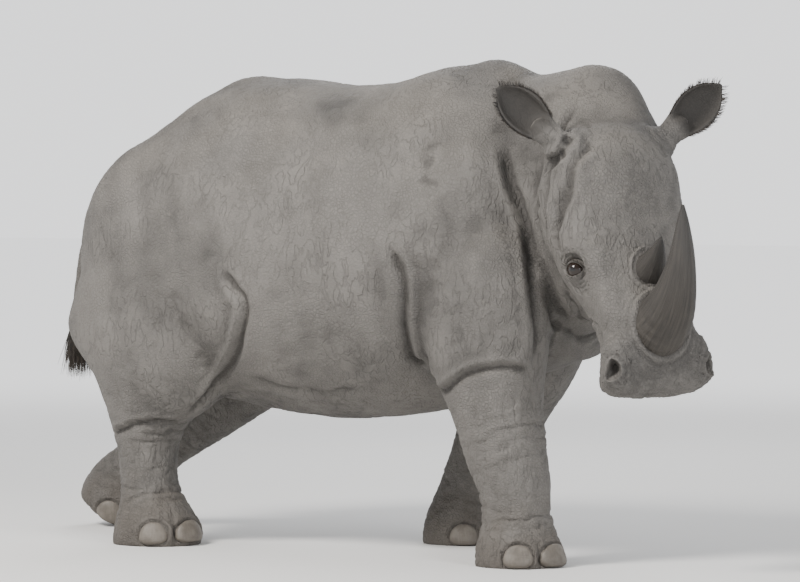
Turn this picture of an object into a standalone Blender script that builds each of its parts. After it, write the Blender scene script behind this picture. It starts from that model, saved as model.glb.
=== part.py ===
"""A white rhinoceros at life size, walking, with its head turned to its right.

The body is modelled whole from a lofted trunk, neck, head and legs with muscle masses, fused by a
voxel remesh, smoothed, cut flat at the floor and parted into named pieces with thin cuts. Horns,
eyes, ears, tail and toenails are separate pieces, each let into a socket.

Frame: +X forward, +Y the animal's left, +Z up, floor at z = 0. Metres. Everything is laid out from
a point under the trunk, and at the end moved so that the origin lies under the middle of the box
round the animal.
"""

import math

import bmesh
import bpy
import numpy as np
from mathutils import Matrix, Vector

# ---- Driving dimensions -----------------------------------------------------------------------

GAP = 0.0004            # clear space between neighbouring pieces
VOXEL = 0.013           # mesh size of the fused body before it is thinned
BODY_FACES = 2580       # triangles of the thinned body, before it is parted
SOFTENING = 70          # rounds of smoothing that blend the body's masses into each other

OCCIPUT = Vector((1.058, -0.272, 1.40))    # where the head's long axis starts, inside the nape
HEAD_YAW = math.radians(-32)               # head turned to the animal's right
HEAD_ROLL = math.radians(2)                # and leaning to its right
HEAD_PITCH = math.radians(64)              # nose hanging below the horizontal

EYE_RADIUS = 0.037
HORN_BASE = 0.098       # half the front horn's length along the nose at its base
TAIL_ROOT = 0.052       # half the tail's width where it leaves the rump

FORWARD = Vector((1, 0, 0))
LEFT = Vector((0, 1, 0))
UP = Vector((0, 0, 1))

# The head's own axes: along it to the lips, out of the forehead, and to its left.
HEAD_TURN = (
    Matrix.Rotation(HEAD_YAW, 3, "Z")
    @ Matrix.Rotation(HEAD_ROLL, 3, "X")
    @ Matrix.Rotation(HEAD_PITCH, 3, "Y")
)
ALONG = HEAD_TURN @ FORWARD
BROW = HEAD_TURN @ UP
CHEEK = HEAD_TURN @ LEFT
NAPE_NORMAL = ALONG * 0.5 + BROW * 0.866   # square to the cut between neck and head

# Stations of each loft: X, Y, Z, then half width, reach above, reach below and squareness, where 2
# is an ellipse.
TRUNK = (
    (-1.28, 0.00, 0.96, 0.20, 0.22, 0.18, 2.0),
    (-1.20, 0.00, 0.98, 0.35, 0.30, 0.32, 2.0),
    (-1.06, 0.00, 1.01, 0.45, 0.455, 0.42, 2.1),
    (-0.84, 0.00, 1.01, 0.50, 0.635, 0.47, 2.1),
    (-0.55, 0.00, 1.00, 0.545, 0.715, 0.50, 2.1),
    (-0.20, 0.00, 0.98, 0.565, 0.705, 0.515, 2.1),
    (0.15, 0.00, 0.99, 0.54, 0.715, 0.485, 2.1),
    (0.42, 0.00, 1.03, 0.48, 0.735, 0.425, 2.0),
    (0.65, 0.00, 1.08, 0.41, 0.635, 0.40, 2.0),
    (0.82, 0.00, 1.10, 0.31, 0.45, 0.36, 2.0),
    (0.92, 0.00, 1.10, 0.18, 0.25, 0.20, 2.0),
)
NECK = (
    (0.36, 0.00, 1.25, 0.34, 0.45, 0.46, 2.0),
    (0.64, 0.00, 1.25, 0.33, 0.465, 0.49, 2.0),
    (0.85, -0.07, 1.25, 0.29, 0.475, 0.44, 2.0),
    (1.00, -0.18, 1.24, 0.25, 0.39, 0.38, 2.1),
    (1.10, -0.29, 1.23, 0.20, 0.25, 0.28, 2.1),
    (1.15, -0.35, 1.21, 0.12, 0.14, 0.18, 2.1),
)
# The head's places are distances along its axis from the occiput.
HEAD = (
    (-0.12, 0.110, 0.080, 0.120, 2.0),
    (-0.06, 0.175, 0.145, 0.190, 2.0),
    (0.04, 0.230, 0.180, 0.245, 2.2),
    (0.14, 0.240, 0.172, 0.265, 2.3),
    (0.25, 0.236, 0.146, 0.285, 2.4),
    (0.36, 0.216, 0.130, 0.272, 2.4),
    (0.46, 0.182, 0.124, 0.235, 2.4),
    (0.56, 0.160, 0.122, 0.192, 2.5),
    (0.65, 0.156, 0.116, 0.155, 2.6),
    (0.73, 0.180, 0.094, 0.142, 2.8),
    (0.79, 0.198, 0.058, 0.132, 3.0),
    (0.835, 0.184, 0.015, 0.112, 2.8),
    (0.855, 0.095, -0.015, 0.075, 2.4),
)
# Each leg runs from inside the body to its sole: half width, reach forward, reach backward.
LEG_FRONT_RIGHT = (
    (0.52, -0.20, 1.32, 0.10, 0.16, 0.18, 2.0),
    (0.56, -0.29, 1.10, 0.155, 0.23, 0.24, 2.0),
    (0.60, -0.34, 0.86, 0.180, 0.245, 0.25, 2.1),
    (0.63, -0.35, 0.68, 0.172, 0.210, 0.205, 2.1),
    (0.66, -0.35, 0.53, 0.150, 0.165, 0.163, 2.1),
    (0.695, -0.345, 0.38, 0.138, 0.145, 0.143, 2.1),
    (0.720, -0.34, 0.27, 0.122, 0.130, 0.120, 2.1),
    (0.730, -0.34, 0.17, 0.116, 0.123, 0.115, 2.1),
    (0.733, -0.34, 0.09, 0.140, 0.150, 0.130, 2.2),
    (0.733, -0.34, 0.03, 0.152, 0.165, 0.138, 2.3),
    (0.733, -0.34, -0.03, 0.146, 0.158, 0.130, 2.3),
)
LEG_FRONT_LEFT = (
    (0.48, 0.20, 1.32, 0.10, 0.16, 0.18, 2.0),
    (0.45, 0.29, 1.10, 0.155, 0.22, 0.24, 2.0),
    (0.40, 0.34, 0.88, 0.180, 0.215, 0.245, 2.1),
    (0.34, 0.35, 0.70, 0.168, 0.190, 0.205, 2.1),
    (0.26, 0.35, 0.54, 0.150, 0.155, 0.165, 2.1),
    (0.18, 0.34, 0.39, 0.138, 0.142, 0.142, 2.1),
    (0.115, 0.335, 0.27, 0.120, 0.128, 0.118, 2.1),
    (0.075, 0.33, 0.17, 0.116, 0.123, 0.115, 2.1),
    (0.055, 0.33, 0.09, 0.140, 0.150, 0.132, 2.2),
    (0.050, 0.33, 0.03, 0.152, 0.165, 0.140, 2.3),
    (0.050, 0.33, -0.03, 0.146, 0.158, 0.132, 2.3),
)
LEG_HIND_RIGHT = (
    (-0.84, -0.18, 1.36, 0.12, 0.20, 0.20, 2.0),
    (-0.83, -0.27, 1.15, 0.19, 0.34, 0.34, 2.0),
    (-0.81, -0.32, 0.92, 0.205, 0.375, 0.42, 2.1),
    (-0.81, -0.34, 0.74, 0.205, 0.335, 0.445, 2.1),
    (-0.84, -0.34, 0.60, 0.178, 0.250, 0.362, 2.1),
    (-0.88, -0.335, 0.48, 0.135, 0.152, 0.208, 2.1),
    (-0.895, -0.335, 0.38, 0.114, 0.118, 0.135, 2.1),
    (-0.893, -0.34, 0.27, 0.102, 0.112, 0.110, 2.1),
    (-0.880, -0.345, 0.17, 0.108, 0.120, 0.112, 2.1),
    (-0.865, -0.35, 0.09, 0.138, 0.162, 0.138, 2.2),
    (-0.858, -0.35, 0.03, 0.150, 0.180, 0.148, 2.3),
    (-0.858, -0.35, -0.03, 0.144, 0.173, 0.142, 2.3),
)
LEG_HIND_LEFT = (
    (-0.86, 0.18, 1.36, 0.12, 0.20, 0.20, 2.0),
    (-0.86, 0.27, 1.15, 0.19, 0.33, 0.33, 2.0),
    (-0.85, 0.32, 0.94, 0.205, 0.35, 0.40, 2.1),
    (-0.88, 0.33, 0.78, 0.195, 0.31, 0.38, 2.1),
    (-0.94, 0.32, 0.65, 0.165, 0.24, 0.29, 2.1),
    (-1.03, 0.30, 0.53, 0.130, 0.165, 0.180, 2.1),
    (-1.15, 0.275, 0.42, 0.113, 0.128, 0.132, 2.1),
    (-1.27, 0.26, 0.335, 0.102, 0.110, 0.108, 2.1),
    (-1.385, 0.255, 0.252, 0.110, 0.118, 0.106, 2.1),
    (-1.475, 0.255, 0.176, 0.130, 0.142, 0.122, 2.2),
    (-1.53, 0.255, 0.100, 0.140, 0.152, 0.130, 2.3),
    (-1.558, 0.255, 0.058, 0.128, 0.140, 0.118, 2.3),
)


# ---- Modelling helpers -------------------------------------------------------------------------


def clear_scene():
    for old in list(bpy.data.objects):
        bpy.data.objects.remove(old, do_unlink=True)


def smooth_rows(rows, count):
    """Rows of numbers resampled to count rows on a smooth curve through them."""
    table = np.array(rows, float)
    steps = np.linalg.norm(np.diff(table[:, :3], axis=0), axis=1)
    knots = np.concatenate([[0.0], np.cumsum(steps)])
    slopes = np.gradient(table, knots, axis=0)
    places = np.linspace(0, knots[-1], count)
    index = np.clip(np.searchsorted(knots, places, side="right") - 1, 0, len(knots) - 2)
    span = (knots[index + 1] - knots[index])[:, None]
    t = (places[:, None] - knots[index][:, None]) / span
    return (
        table[index] * (1 + 2 * t) * (1 - t) ** 2
        + slopes[index] * span * t * (1 - t) ** 2
        + table[index + 1] * t**2 * (3 - 2 * t)
        + slopes[index + 1] * span * t**2 * (t - 1)
    )


def section(centre, side, up, half_width, above, below, square, count):
    """Points round one cross-section, whose top and bottom may reach differently."""
    points = []
    for k in range(count):
        turn = 2 * math.pi * k / count
        across = math.copysign(abs(math.cos(turn)) ** (2 / square), math.cos(turn))
        rise = math.copysign(abs(math.sin(turn)) ** (2 / square), math.sin(turn))
        reach = above if rise > 0 else below
        points.append(centre + side * across * half_width + up * rise * reach)
    return points


def new_object(name, bm):
    mesh = bpy.data.meshes.new(name)
    bm.to_mesh(mesh)
    bm.free()
    made = bpy.data.objects.new(name, mesh)
    bpy.context.scene.collection.objects.link(made)
    return made


def skinned(name, rings):
    """A closed solid through rings of equally many points, with its ends capped. Its faces are
    triangles, so that a grown copy bends in the same places."""
    bm = bmesh.new()
    loops = [[bm.verts.new(point) for point in ring] for ring in rings]
    for low, high in zip(loops, loops[1:]):
        for k in range(len(low)):
            after = (k + 1) % len(low)
            bm.faces.new((low[k], low[after], high[after], high[k]))
    bm.faces.new(loops[0])
    bm.faces.new(loops[-1])
    bmesh.ops.recalc_face_normals(bm, faces=bm.faces)
    bmesh.ops.triangulate(bm, faces=bm.faces)
    return new_object(name, bm)


def sweep(name, rows, rings, side=None, points=44):
    """A solid lofted along the rows' places. Sections are square to the path. With no side given,
    they stand upright."""
    table = smooth_rows(rows, rings)
    tangents = np.gradient(table[:, :3], axis=0)
    loops = []
    for row, tangent in zip(table, tangents):
        ahead = Vector(tangent).normalized()
        across = UP.cross(ahead) if side is None else side - ahead * side.dot(ahead)
        across.normalize()
        loops.append(section(Vector(row[:3]), across, ahead.cross(across), *row[3:], points))
    return skinned(name, loops)


def head_point(along, out=0.0, left=0.0):
    """A place given in the head's own axes."""
    return OCCIPUT + ALONG * along + BROW * out + CHEEK * left


def lump(name, centre, radii, axes=(FORWARD, LEFT, UP), segments=24, rings=14):
    """An ellipsoid mass, such as a muscle, with its radii along the given axes."""
    bm = bmesh.new()
    bmesh.ops.create_uvsphere(bm, u_segments=segments, v_segments=rings, radius=1)
    turn = Matrix([axis * radius for axis, radius in zip(axes, radii)]).transposed().to_4x4()
    turn.translation = centre
    bm.transform(turn)
    bmesh.ops.recalc_face_normals(bm, faces=bm.faces)
    return new_object(name, bm)


def settle(obj):
    """The object's modifiers made part of its mesh."""
    graph = bpy.context.evaluated_depsgraph_get()
    mesh = bpy.data.meshes.new_from_object(obj.evaluated_get(graph), depsgraph=graph)
    obj.modifiers.clear()
    obj.data = mesh


def coordinates(mesh):
    points = np.empty(len(mesh.vertices) * 3, np.float32)
    mesh.vertices.foreach_get("co", points)
    return points.reshape(-1, 3).astype(float)


# ---- The fused body ----------------------------------------------------------------------------


def body_masses():
    """Muscle, bone and fat that stand out of the lofts."""
    head_axes = (ALONG, BROW, CHEEK)
    made = [
        lump("hump", Vector((0.88, -0.06, 1.54)), (0.20, 0.15, 0.21)),
        lump("croup", Vector((-0.63, 0, 1.51)), (0.24, 0.20, 0.22)),
        lump("withers", Vector((0.43, 0, 1.50)), (0.25, 0.17, 0.275)),
        lump("boss_front", head_point(0.61, 0.088), (0.120, 0.06, 0.120), head_axes),
        lump("boss_rear", head_point(0.44, 0.090), (0.085, 0.05, 0.095), head_axes),
        lump("upper_lip", head_point(0.775, -0.035), (0.075, 0.06, 0.202), head_axes),
        lump("lower_lip", head_point(0.745, -0.110), (0.090, 0.045, 0.156), head_axes),
    ]
    for sign in (-1, 1):
        made += [
            lump("blade", Vector((0.50, 0.26 * sign, 1.16)), (0.25, 0.19, 0.40)),
            lump("haunch", Vector((-0.86, 0.25 * sign, 1.08)), (0.38, 0.25, 0.42)),
            lump("jaw", head_point(0.23, -0.10, 0.125 * sign), (0.18, 0.15, 0.085), head_axes),
            lump("brow", head_point(0.36, 0.060, 0.158 * sign), (0.11, 0.050, 0.048), head_axes),
            lump("nostril", head_point(0.735, 0.010, 0.140 * sign), (0.08, 0.068, 0.057), head_axes),
            lump("ear_base", head_point(-0.01, 0.05, 0.135 * sign), (0.10, 0.09, 0.075), head_axes),
        ]
    return made


def fused_body():
    """The whole body as one skin of small even quads."""
    head_rows = [(*head_point(row[0], 0), *row[1:]) for row in HEAD]
    parts = [sweep("trunk", TRUNK, 60), sweep("neck", NECK, 30), sweep("head", head_rows, 44, CHEEK)]
    for rows in (LEG_FRONT_RIGHT, LEG_FRONT_LEFT, LEG_HIND_RIGHT, LEG_HIND_LEFT):
        parts.append(sweep("leg", rows, 46, LEFT))
    parts += body_masses()
    bm = bmesh.new()
    for part in parts:
        bm.from_mesh(part.data)
        bpy.data.objects.remove(part, do_unlink=True)
    body = new_object("body", bm)
    fuse = body.modifiers.new("fuse", "REMESH")
    fuse.mode = "VOXEL"
    fuse.voxel_size = VOXEL
    settle(body)
    return body


def soften(body):
    """Blends the masses into each other: much on the trunk, less on the legs, little on the head."""
    points = coordinates(body.data)
    nape = np.array(head_point(0.0, 0.0))
    on_head = (points - nape) @ np.array((ALONG + BROW * 0.6).normalized())
    head_share = np.clip(on_head / 0.10 + 0.9, 0, 1)
    low_share = np.clip((0.50 - points[:, 2]) / 0.25, 0, 1)
    weight = 1.0 - 0.93 * np.maximum(head_share, 0.85 * low_share)
    group = body.vertex_groups.new(name="soft")
    for step in range(11):
        chosen = np.flatnonzero(np.round(weight * 10) == step)
        group.add(chosen.tolist(), step / 10, "REPLACE")
    smooth = body.modifiers.new("soften", "SMOOTH")
    smooth.factor = 0.5
    smooth.iterations = SOFTENING
    smooth.vertex_group = group.name
    settle(body)
    body.vertex_groups.clear()
    smooth = body.modifiers.new("even", "SMOOTH")
    smooth.factor = 0.5
    smooth.iterations = 5
    settle(body)


def thin(body):
    """Fewer, larger triangles."""
    faces = sum(len(face.vertices) - 2 for face in body.data.polygons)
    fewer = body.modifiers.new("fewer", "DECIMATE")
    fewer.ratio = BODY_FACES / faces
    settle(body)


# ---- Cutting and fitting -----------------------------------------------------------------------


def duplicate(obj, name, grow=0.0):
    """A copy, whose surface may stand further out by the given amount."""
    made = bpy.data.objects.new(name, obj.data.copy())
    bpy.context.scene.collection.objects.link(made)
    if grow:
        places = [vertex.co + vertex.normal * grow for vertex in made.data.vertices]
        for vertex, place in zip(made.data.vertices, places):
            vertex.co = place
    return made


def combine(obj, tool, operation):
    """A Boolean of the object with the tool, keeping the largest body that results."""
    cut = obj.modifiers.new("cut", "BOOLEAN")
    cut.operation = operation
    cut.solver = "EXACT"
    cut.object = tool
    settle(obj)
    bm = bmesh.new()
    bm.from_mesh(obj.data)
    bmesh.ops.remove_doubles(bm, verts=bm.verts, dist=0.00005)
    bmesh.ops.dissolve_degenerate(bm, dist=0.00005, edges=bm.edges)
    left = set(bm.verts)
    bodies = []
    while left:
        found = [left.pop()]
        for vertex in found:
            for edge in vertex.link_edges:
                other = edge.other_vert(vertex)
                if other in left:
                    left.remove(other)
                    found.append(other)
        bodies.append(found)
    bodies.sort(key=len)
    for small in bodies[:-1]:
        bmesh.ops.delete(bm, geom=small, context="VERTS")
    bmesh.ops.triangulate(bm, faces=bm.faces)
    bm.to_mesh(obj.data)
    bm.free()


def block(name, place, ahead, side, reach, half_side, above, below):
    """A box that starts at a place and reaches ahead, with its own width and height."""
    ahead = ahead.normalized()
    side = (side - ahead * side.dot(ahead)).normalized()
    up = ahead.cross(side)
    bm = bmesh.new()
    corners = [
        bm.verts.new(place + ahead * far + side * half_side * lr + up * rise)
        for far in (0.0, reach)
        for lr in (-1, 1)
        for rise in (-below, above)
    ]
    for face in ((0, 1, 3, 2), (4, 6, 7, 5), (0, 4, 5, 1), (2, 3, 7, 6), (0, 2, 6, 4), (1, 5, 7, 3)):
        bm.faces.new([corners[k] for k in face])
    bmesh.ops.recalc_face_normals(bm, faces=bm.faces)
    return new_object(name, bm)


def drop(*objects):
    for obj in objects:
        bpy.data.objects.remove(obj, do_unlink=True)


def part_off(host, name, region):
    """The host's share inside the region as a piece of its own, a hair's breadth clear of it."""
    piece = duplicate(host, name)
    combine(piece, region, "INTERSECT")
    wider = duplicate(region, "wider", GAP)
    combine(host, wider, "DIFFERENCE")
    drop(region, wider)
    return piece


def let_in(host, piece):
    """A socket in the host that clears the piece all round."""
    wider = duplicate(piece, "wider", GAP)
    combine(host, wider, "DIFFERENCE")
    drop(wider)


# ---- Pieces let into the body ------------------------------------------------------------------


def horn(name, path, base_along, base_across, rings, points):
    """A tapering horn along a path in the head's own axes, ending in a blunt tip."""
    shares = ((0.0, 1.0), (0.12, 1.0), (0.26, 0.90), (0.42, 0.72), (0.60, 0.53), (0.80, 0.32),
              (0.94, 0.16), (1.0, 0.05))
    places = smooth_rows([(*head_point(*row), 0) for row in path], 60)
    rows = []
    for share, size in shares:
        place = places[round(share * 59)][:3]
        rows.append((*place, base_across * size, base_along * size, base_along * size, 2.1))
    return sweep(name, rows, rings, CHEEK, points)


def ear(name, sign):
    """A tube at the root that opens to a cup with a pointed tip, facing ahead."""
    root = head_point(-0.02, 0.045, 0.165 * sign)
    ahead = Vector((math.cos(HEAD_YAW), math.sin(HEAD_YAW), 0))
    axis = (CHEEK * sign * 0.68 + UP * 0.66 + ahead * (0.10 + 0.20 * sign)).normalized()
    face = Vector((math.cos(HEAD_YAW * 1.5), math.sin(HEAD_YAW * 1.5), 0))
    face = (face - axis * face.dot(axis)).normalized()
    side = axis.cross(face)
    # distance from the root, half width, depth behind the axis, how far the cup has opened
    rows = (
        (0.000, 0.040, 0.036, 0.0),
        (0.040, 0.042, 0.038, 0.0),
        (0.085, 0.046, 0.040, 0.10),
        (0.120, 0.054, 0.044, 0.65),
        (0.160, 0.067, 0.048, 1.0),
        (0.205, 0.073, 0.047, 1.0),
        (0.250, 0.065, 0.040, 1.0),
        (0.290, 0.044, 0.028, 1.0),
        (0.318, 0.016, 0.014, 1.0),
        (0.328, 0.005, 0.008, 1.0),
    )
    table = smooth_rows([(row[0], 0, 0, *row[1:]) for row in rows], 10)
    rings = []
    for reach, _, _, half_width, depth, opened in table:
        opened = min(max(opened, 0.0), 1.0)
        wall = min(0.009, half_width * 0.6)
        place = root + axis * reach - face * 0.20 * max(reach - 0.12, 0)
        outer = []
        inner = []
        for k in range(7):
            turn = math.radians(-96 + 192 * k / 6)
            across = math.sin(turn)
            behind = math.cos(turn)
            outer.append(place + side * half_width * across - face * depth * behind)
            hollow = -depth * 0.9 * (1 - opened) + max(depth - wall, 0.002) * opened
            inner.append(
                place + side * (half_width - wall) * across * 0.98 - face * (hollow * behind - 0.004)
            )
        rings.append(outer + inner[::-1])
    return skinned(name, rings)


def foot_frame(rows):
    """The middle of a sole, the way the leg points there, and the way the toes point."""
    sole = Vector(rows[-1][:3])
    down = (sole - Vector(rows[-3][:3])).normalized()
    across = (LEFT - down * LEFT.dot(down)).normalized()
    return sole, down, down.cross(across), across


def nail(name, rows, turn, half_width):
    """A broad toenail, standing a little proud of the foot and clear of the floor."""
    sole, down, ahead, across = foot_frame(rows)
    spread = ahead * math.cos(turn) + across * math.sin(turn)
    sideways = across * math.cos(turn) - ahead * math.sin(turn)
    half, toe = rows[-2][3], rows[-2][4]
    reach = ahead * math.cos(turn) * toe + across * math.sin(turn) * half
    lift = 0.075 if sole.z < 0 else 0.060
    place = sole - down * lift + reach * 0.965
    lean = (spread * 0.96 - down * 0.28).normalized()
    rise = lean.cross(sideways)
    made = lump(name, place, (0.022, half_width, 0.044), (lean, sideways, rise), 8, 5)
    floor = block("under", Vector((place.x, place.y, 0.004)), -UP, LEFT, 0.4, 0.4, 0.4, 0.4)
    combine(made, floor, "DIFFERENCE")
    drop(floor)
    return made


def leg_region(rows):
    """The room a leg takes, reaching well out of the body's side where shoulder or thigh meets it."""
    wide = []
    for x, y, z, half, ahead, behind, square in rows:
        high = min(max((z - 0.60) / 0.30, 0.0), 1.0)
        y += math.copysign(0.13 * high, y)
        half += 0.05 + 0.13 * high
        wide.append((x, y, z, half, ahead + 0.035, behind + 0.035, square))
    return sweep("region", wide, 8, LEFT, 10)


def tail_pieces():
    """A round tail hanging down the rump to its left edge, and the flat tuft at its end."""
    path = (
        (-1.13, 0.00, 1.44, 0.052, 0.050, 0.050, 2.0),
        (-1.22, 0.00, 1.40, 0.050, 0.048, 0.048, 2.0),
        (-1.315, -0.03, 1.29, 0.040, 0.038, 0.038, 2.0),
        (-1.385, -0.08, 1.10, 0.030, 0.028, 0.028, 2.0),
        (-1.415, -0.10, 0.90, 0.024, 0.021, 0.021, 2.0),
        (-1.420, -0.105, 0.80, 0.021, 0.018, 0.018, 2.0),
    )
    scale = TAIL_ROOT / path[0][3]
    path = [(*row[:3], row[3] * scale, row[4] * scale, row[5] * scale, row[6]) for row in path]
    fan = (
        (-1.420, -0.1055, 0.798, 0.024, 0.019, 0.019, 2.0),
        (-1.420, -0.107, 0.76, 0.038, 0.024, 0.024, 2.0),
        (-1.420, -0.110, 0.70, 0.042, 0.026, 0.026, 2.0),
        (-1.415, -0.112, 0.63, 0.032, 0.020, 0.020, 2.0),
        (-1.410, -0.113, 0.575, 0.010, 0.008, 0.008, 2.0),
    )
    plug = (
        (-1.4185, -0.1035, 0.825, 0.011, 0.009, 0.009, 2.0),
        (-1.420, -0.107, 0.76, 0.011, 0.009, 0.009, 2.0),
    )
    tuft = sweep("tail_tuft", fan, 7, LEFT, 10)
    root = sweep("root", plug, 2, LEFT, 8)
    combine(tuft, root, "UNION")
    drop(root)
    return sweep("tail", path, 11, LEFT, 10), tuft


# ---- Materials and collections -----------------------------------------------------------------


def material(name, colour, roughness, metallic=0.0):
    made = bpy.data.materials.new(name)
    made.use_nodes = True
    shader = made.node_tree.nodes["Principled BSDF"]
    shader.inputs["Base Color"].default_value = (*colour, 1)
    shader.inputs["Roughness"].default_value = roughness
    shader.inputs["Metallic"].default_value = metallic
    return made


# ---- Assembly ----------------------------------------------------------------------------------

clear_scene()
body = fused_body()
soften(body)
thin(body)

under = block("under", Vector((0, 0, 0)), -UP, LEFT, 1.0, 3.0, 3.0, 3.0)
combine(body, under, "DIFFERENCE")
drop(under)

legs = {
    "front_right": LEG_FRONT_RIGHT,
    "front_left": LEG_FRONT_LEFT,
    "hind_right": LEG_HIND_RIGHT,
    "hind_left": LEG_HIND_LEFT,
}
fitted = {}
# The horns' middles, as distances along the head and out of it, and the toenails' turn and half
# width across the front of a foot.
front_path = (
    (0.662, 0.050),
    (0.655, 0.115),
    (0.637, 0.20),
    (0.59, 0.29),
    (0.495, 0.38),
    (0.38, 0.45),
)
rear_path = ((0.470, 0.060), (0.463, 0.115), (0.450, 0.165), (0.430, 0.21), (0.405, 0.25))
toes = (("inner", -57, 0.046), ("middle", 0, 0.062), ("outer", 57, 0.046))

fitted["horn_front"] = horn("horn_front", front_path, HORN_BASE, HORN_BASE * 0.98, 11, 14)
fitted["horn_rear"] = horn("horn_rear", rear_path, HORN_BASE * 0.74, HORN_BASE * 0.70, 6, 10)
for side_name, sign in (("right", -1), ("left", 1)):
    socket = head_point(0.385, -0.036, 0.186 * sign)
    name = "eye_" + side_name
    fitted[name] = lump(name, socket, [EYE_RADIUS] * 3, segments=10, rings=7)
    fitted["ear_" + side_name] = ear("ear_" + side_name, sign)
tail, tuft = tail_pieces()
fitted["tail"] = tail
for leg_name, rows in legs.items():
    fan = 1 if "left" in leg_name else -1
    for toe, turn, half in toes:
        name = f"nail_{leg_name}_{toe}"
        fitted[name] = nail(name, rows, math.radians(turn * fan), half)
for piece in fitted.values():
    let_in(body, piece)
let_in(tail, tuft)

pieces = dict(fitted)
pieces["tail_tuft"] = tuft
region = block("region", OCCIPUT - NAPE_NORMAL * 0.03, NAPE_NORMAL, CHEEK, 1.4, 0.6, 0.7, 0.95)
pieces["head"] = part_off(body, "head", region)
region = block("region", head_point(0.52, -0.080), -BROW, CHEEK, 0.5, 0.5, 0.6, 0.0)
pieces["lower_jaw"] = part_off(pieces["head"], "lower_jaw", region)
region = block("region", Vector((0.62, 0, 1.70)), Vector((0.972, 0, 0.235)), LEFT, 1.2, 0.9, 1.2, 1.2)
pieces["neck"] = part_off(body, "neck", region)
for leg_name, rows in legs.items():
    region = leg_region(rows)
    leg = part_off(body, "leg_" + leg_name, region)
    ankle = Vector(rows[-4][:3])
    down = Vector(rows[-3][:3]) - Vector(rows[-5][:3])
    region = block("region", ankle, down, LEFT, 0.6, 0.5, 0.5, 0.5)
    pieces["foot_" + leg_name] = part_off(leg, "foot_" + leg_name, region)
    pieces[leg.name] = leg
body.name = "trunk"
pieces["trunk"] = body

hide = material("hide", (0.235, 0.215, 0.190), 0.78)
keratin = material("horn_keratin", (0.085, 0.072, 0.058), 0.55)
nail_keratin = material("nail_keratin", (0.42, 0.37, 0.30), 0.60)
eye_dark = material("eye_dark", (0.018, 0.012, 0.009), 0.12)
hair_dark = material("hair_dark", (0.050, 0.040, 0.032), 0.80)
coats = (("horn", keratin), ("nail", nail_keratin), ("eye", eye_dark), ("tail_tuft", hair_dark))

low = np.min([coordinates(piece.data).min(axis=0) for piece in pieces.values()], axis=0)
high = np.max([coordinates(piece.data).max(axis=0) for piece in pieces.values()], axis=0)
shift = Matrix.Translation((-(low[0] + high[0]) / 2, -(low[1] + high[1]) / 2, -low[2]))

rhinoceros = bpy.data.collections.new("white_rhinoceros")
bpy.context.scene.collection.children.link(rhinoceros)
for name, piece in pieces.items():
    piece.name = name
    piece.data.name = name
    piece.data.transform(shift)
    piece.data.materials.clear()
    piece.data.materials.append(next((coat for start, coat in coats if name.startswith(start)), hide))
    piece.data.shade_smooth()
    piece.data.set_sharp_from_angle(angle=math.radians(50))
    bpy.context.scene.collection.objects.unlink(piece)
    rhinoceros.objects.link(piece)
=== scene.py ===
"""A white rhinoceros at life size, walking on a pale studio floor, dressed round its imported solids.

Run by Blender 4.5. Metres, +X forward, +Y the animal's left, +Z up, floor at z = 0.
"""

import math

import bmesh
import bpy
import numpy as np
from mathutils import Matrix, Vector
from mathutils.bvhtree import BVHTree


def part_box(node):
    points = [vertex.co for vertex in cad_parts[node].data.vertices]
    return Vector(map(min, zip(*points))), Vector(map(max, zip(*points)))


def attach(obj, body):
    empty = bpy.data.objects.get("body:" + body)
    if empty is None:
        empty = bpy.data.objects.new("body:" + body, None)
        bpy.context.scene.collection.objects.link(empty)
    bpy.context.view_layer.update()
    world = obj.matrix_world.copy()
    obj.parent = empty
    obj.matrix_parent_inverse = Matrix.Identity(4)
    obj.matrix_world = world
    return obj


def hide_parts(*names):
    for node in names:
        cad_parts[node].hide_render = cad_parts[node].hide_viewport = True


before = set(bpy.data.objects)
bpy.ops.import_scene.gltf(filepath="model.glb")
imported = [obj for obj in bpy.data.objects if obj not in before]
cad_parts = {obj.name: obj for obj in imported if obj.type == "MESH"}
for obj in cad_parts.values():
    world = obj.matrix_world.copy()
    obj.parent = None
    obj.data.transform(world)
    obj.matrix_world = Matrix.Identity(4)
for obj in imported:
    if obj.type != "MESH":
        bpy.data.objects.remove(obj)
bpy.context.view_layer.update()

# ---- The head's axes -------------------------------------------------------------------------
# The head is turned to the animal's right with the nose hanging. Its own axes run along it to the
# lips, out of the forehead and to its left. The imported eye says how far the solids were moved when
# the model was centred.

FORWARD = Vector((1, 0, 0))
LEFT = Vector((0, 1, 0))
UP = Vector((0, 0, 1))
HEAD_YAW = math.radians(-32)
HEAD_TURN = (
    Matrix.Rotation(HEAD_YAW, 3, "Z")
    @ Matrix.Rotation(math.radians(2), 3, "X")
    @ Matrix.Rotation(math.radians(64), 3, "Y")
)
ALONG = HEAD_TURN @ FORWARD
BROW = HEAD_TURN @ UP
CHEEK = HEAD_TURN @ LEFT
OCCIPUT = Vector((1.058, -0.272, 1.40))
EYE_PLACE = (0.385, -0.036, 0.186)


def packed_ball(node):
    """Middle and radius of a packed ball, such as an eye."""
    low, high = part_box(node)
    return (low + high) / 2, (high.z - low.z) / 2


CENTRING = packed_ball("eye_right")[0] - (
    OCCIPUT + ALONG * EYE_PLACE[0] + BROW * EYE_PLACE[1] - CHEEK * EYE_PLACE[2]
)


def head_point(along, out=0.0, left=0.0):
    """A place in the model, given in the head's own axes."""
    return OCCIPUT + CENTRING + ALONG * along + BROW * out + CHEEK * left


# ---- Floor, lights and camera ----------------------------------------------------------------
# A plain pale studio floor of painted board, which glows towards its edge so that it fades into the
# bright band round the horizon. Soft lamps stand over the animal's right side, ahead of it and
# behind it, and a long lens looks on from chest height.

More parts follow.
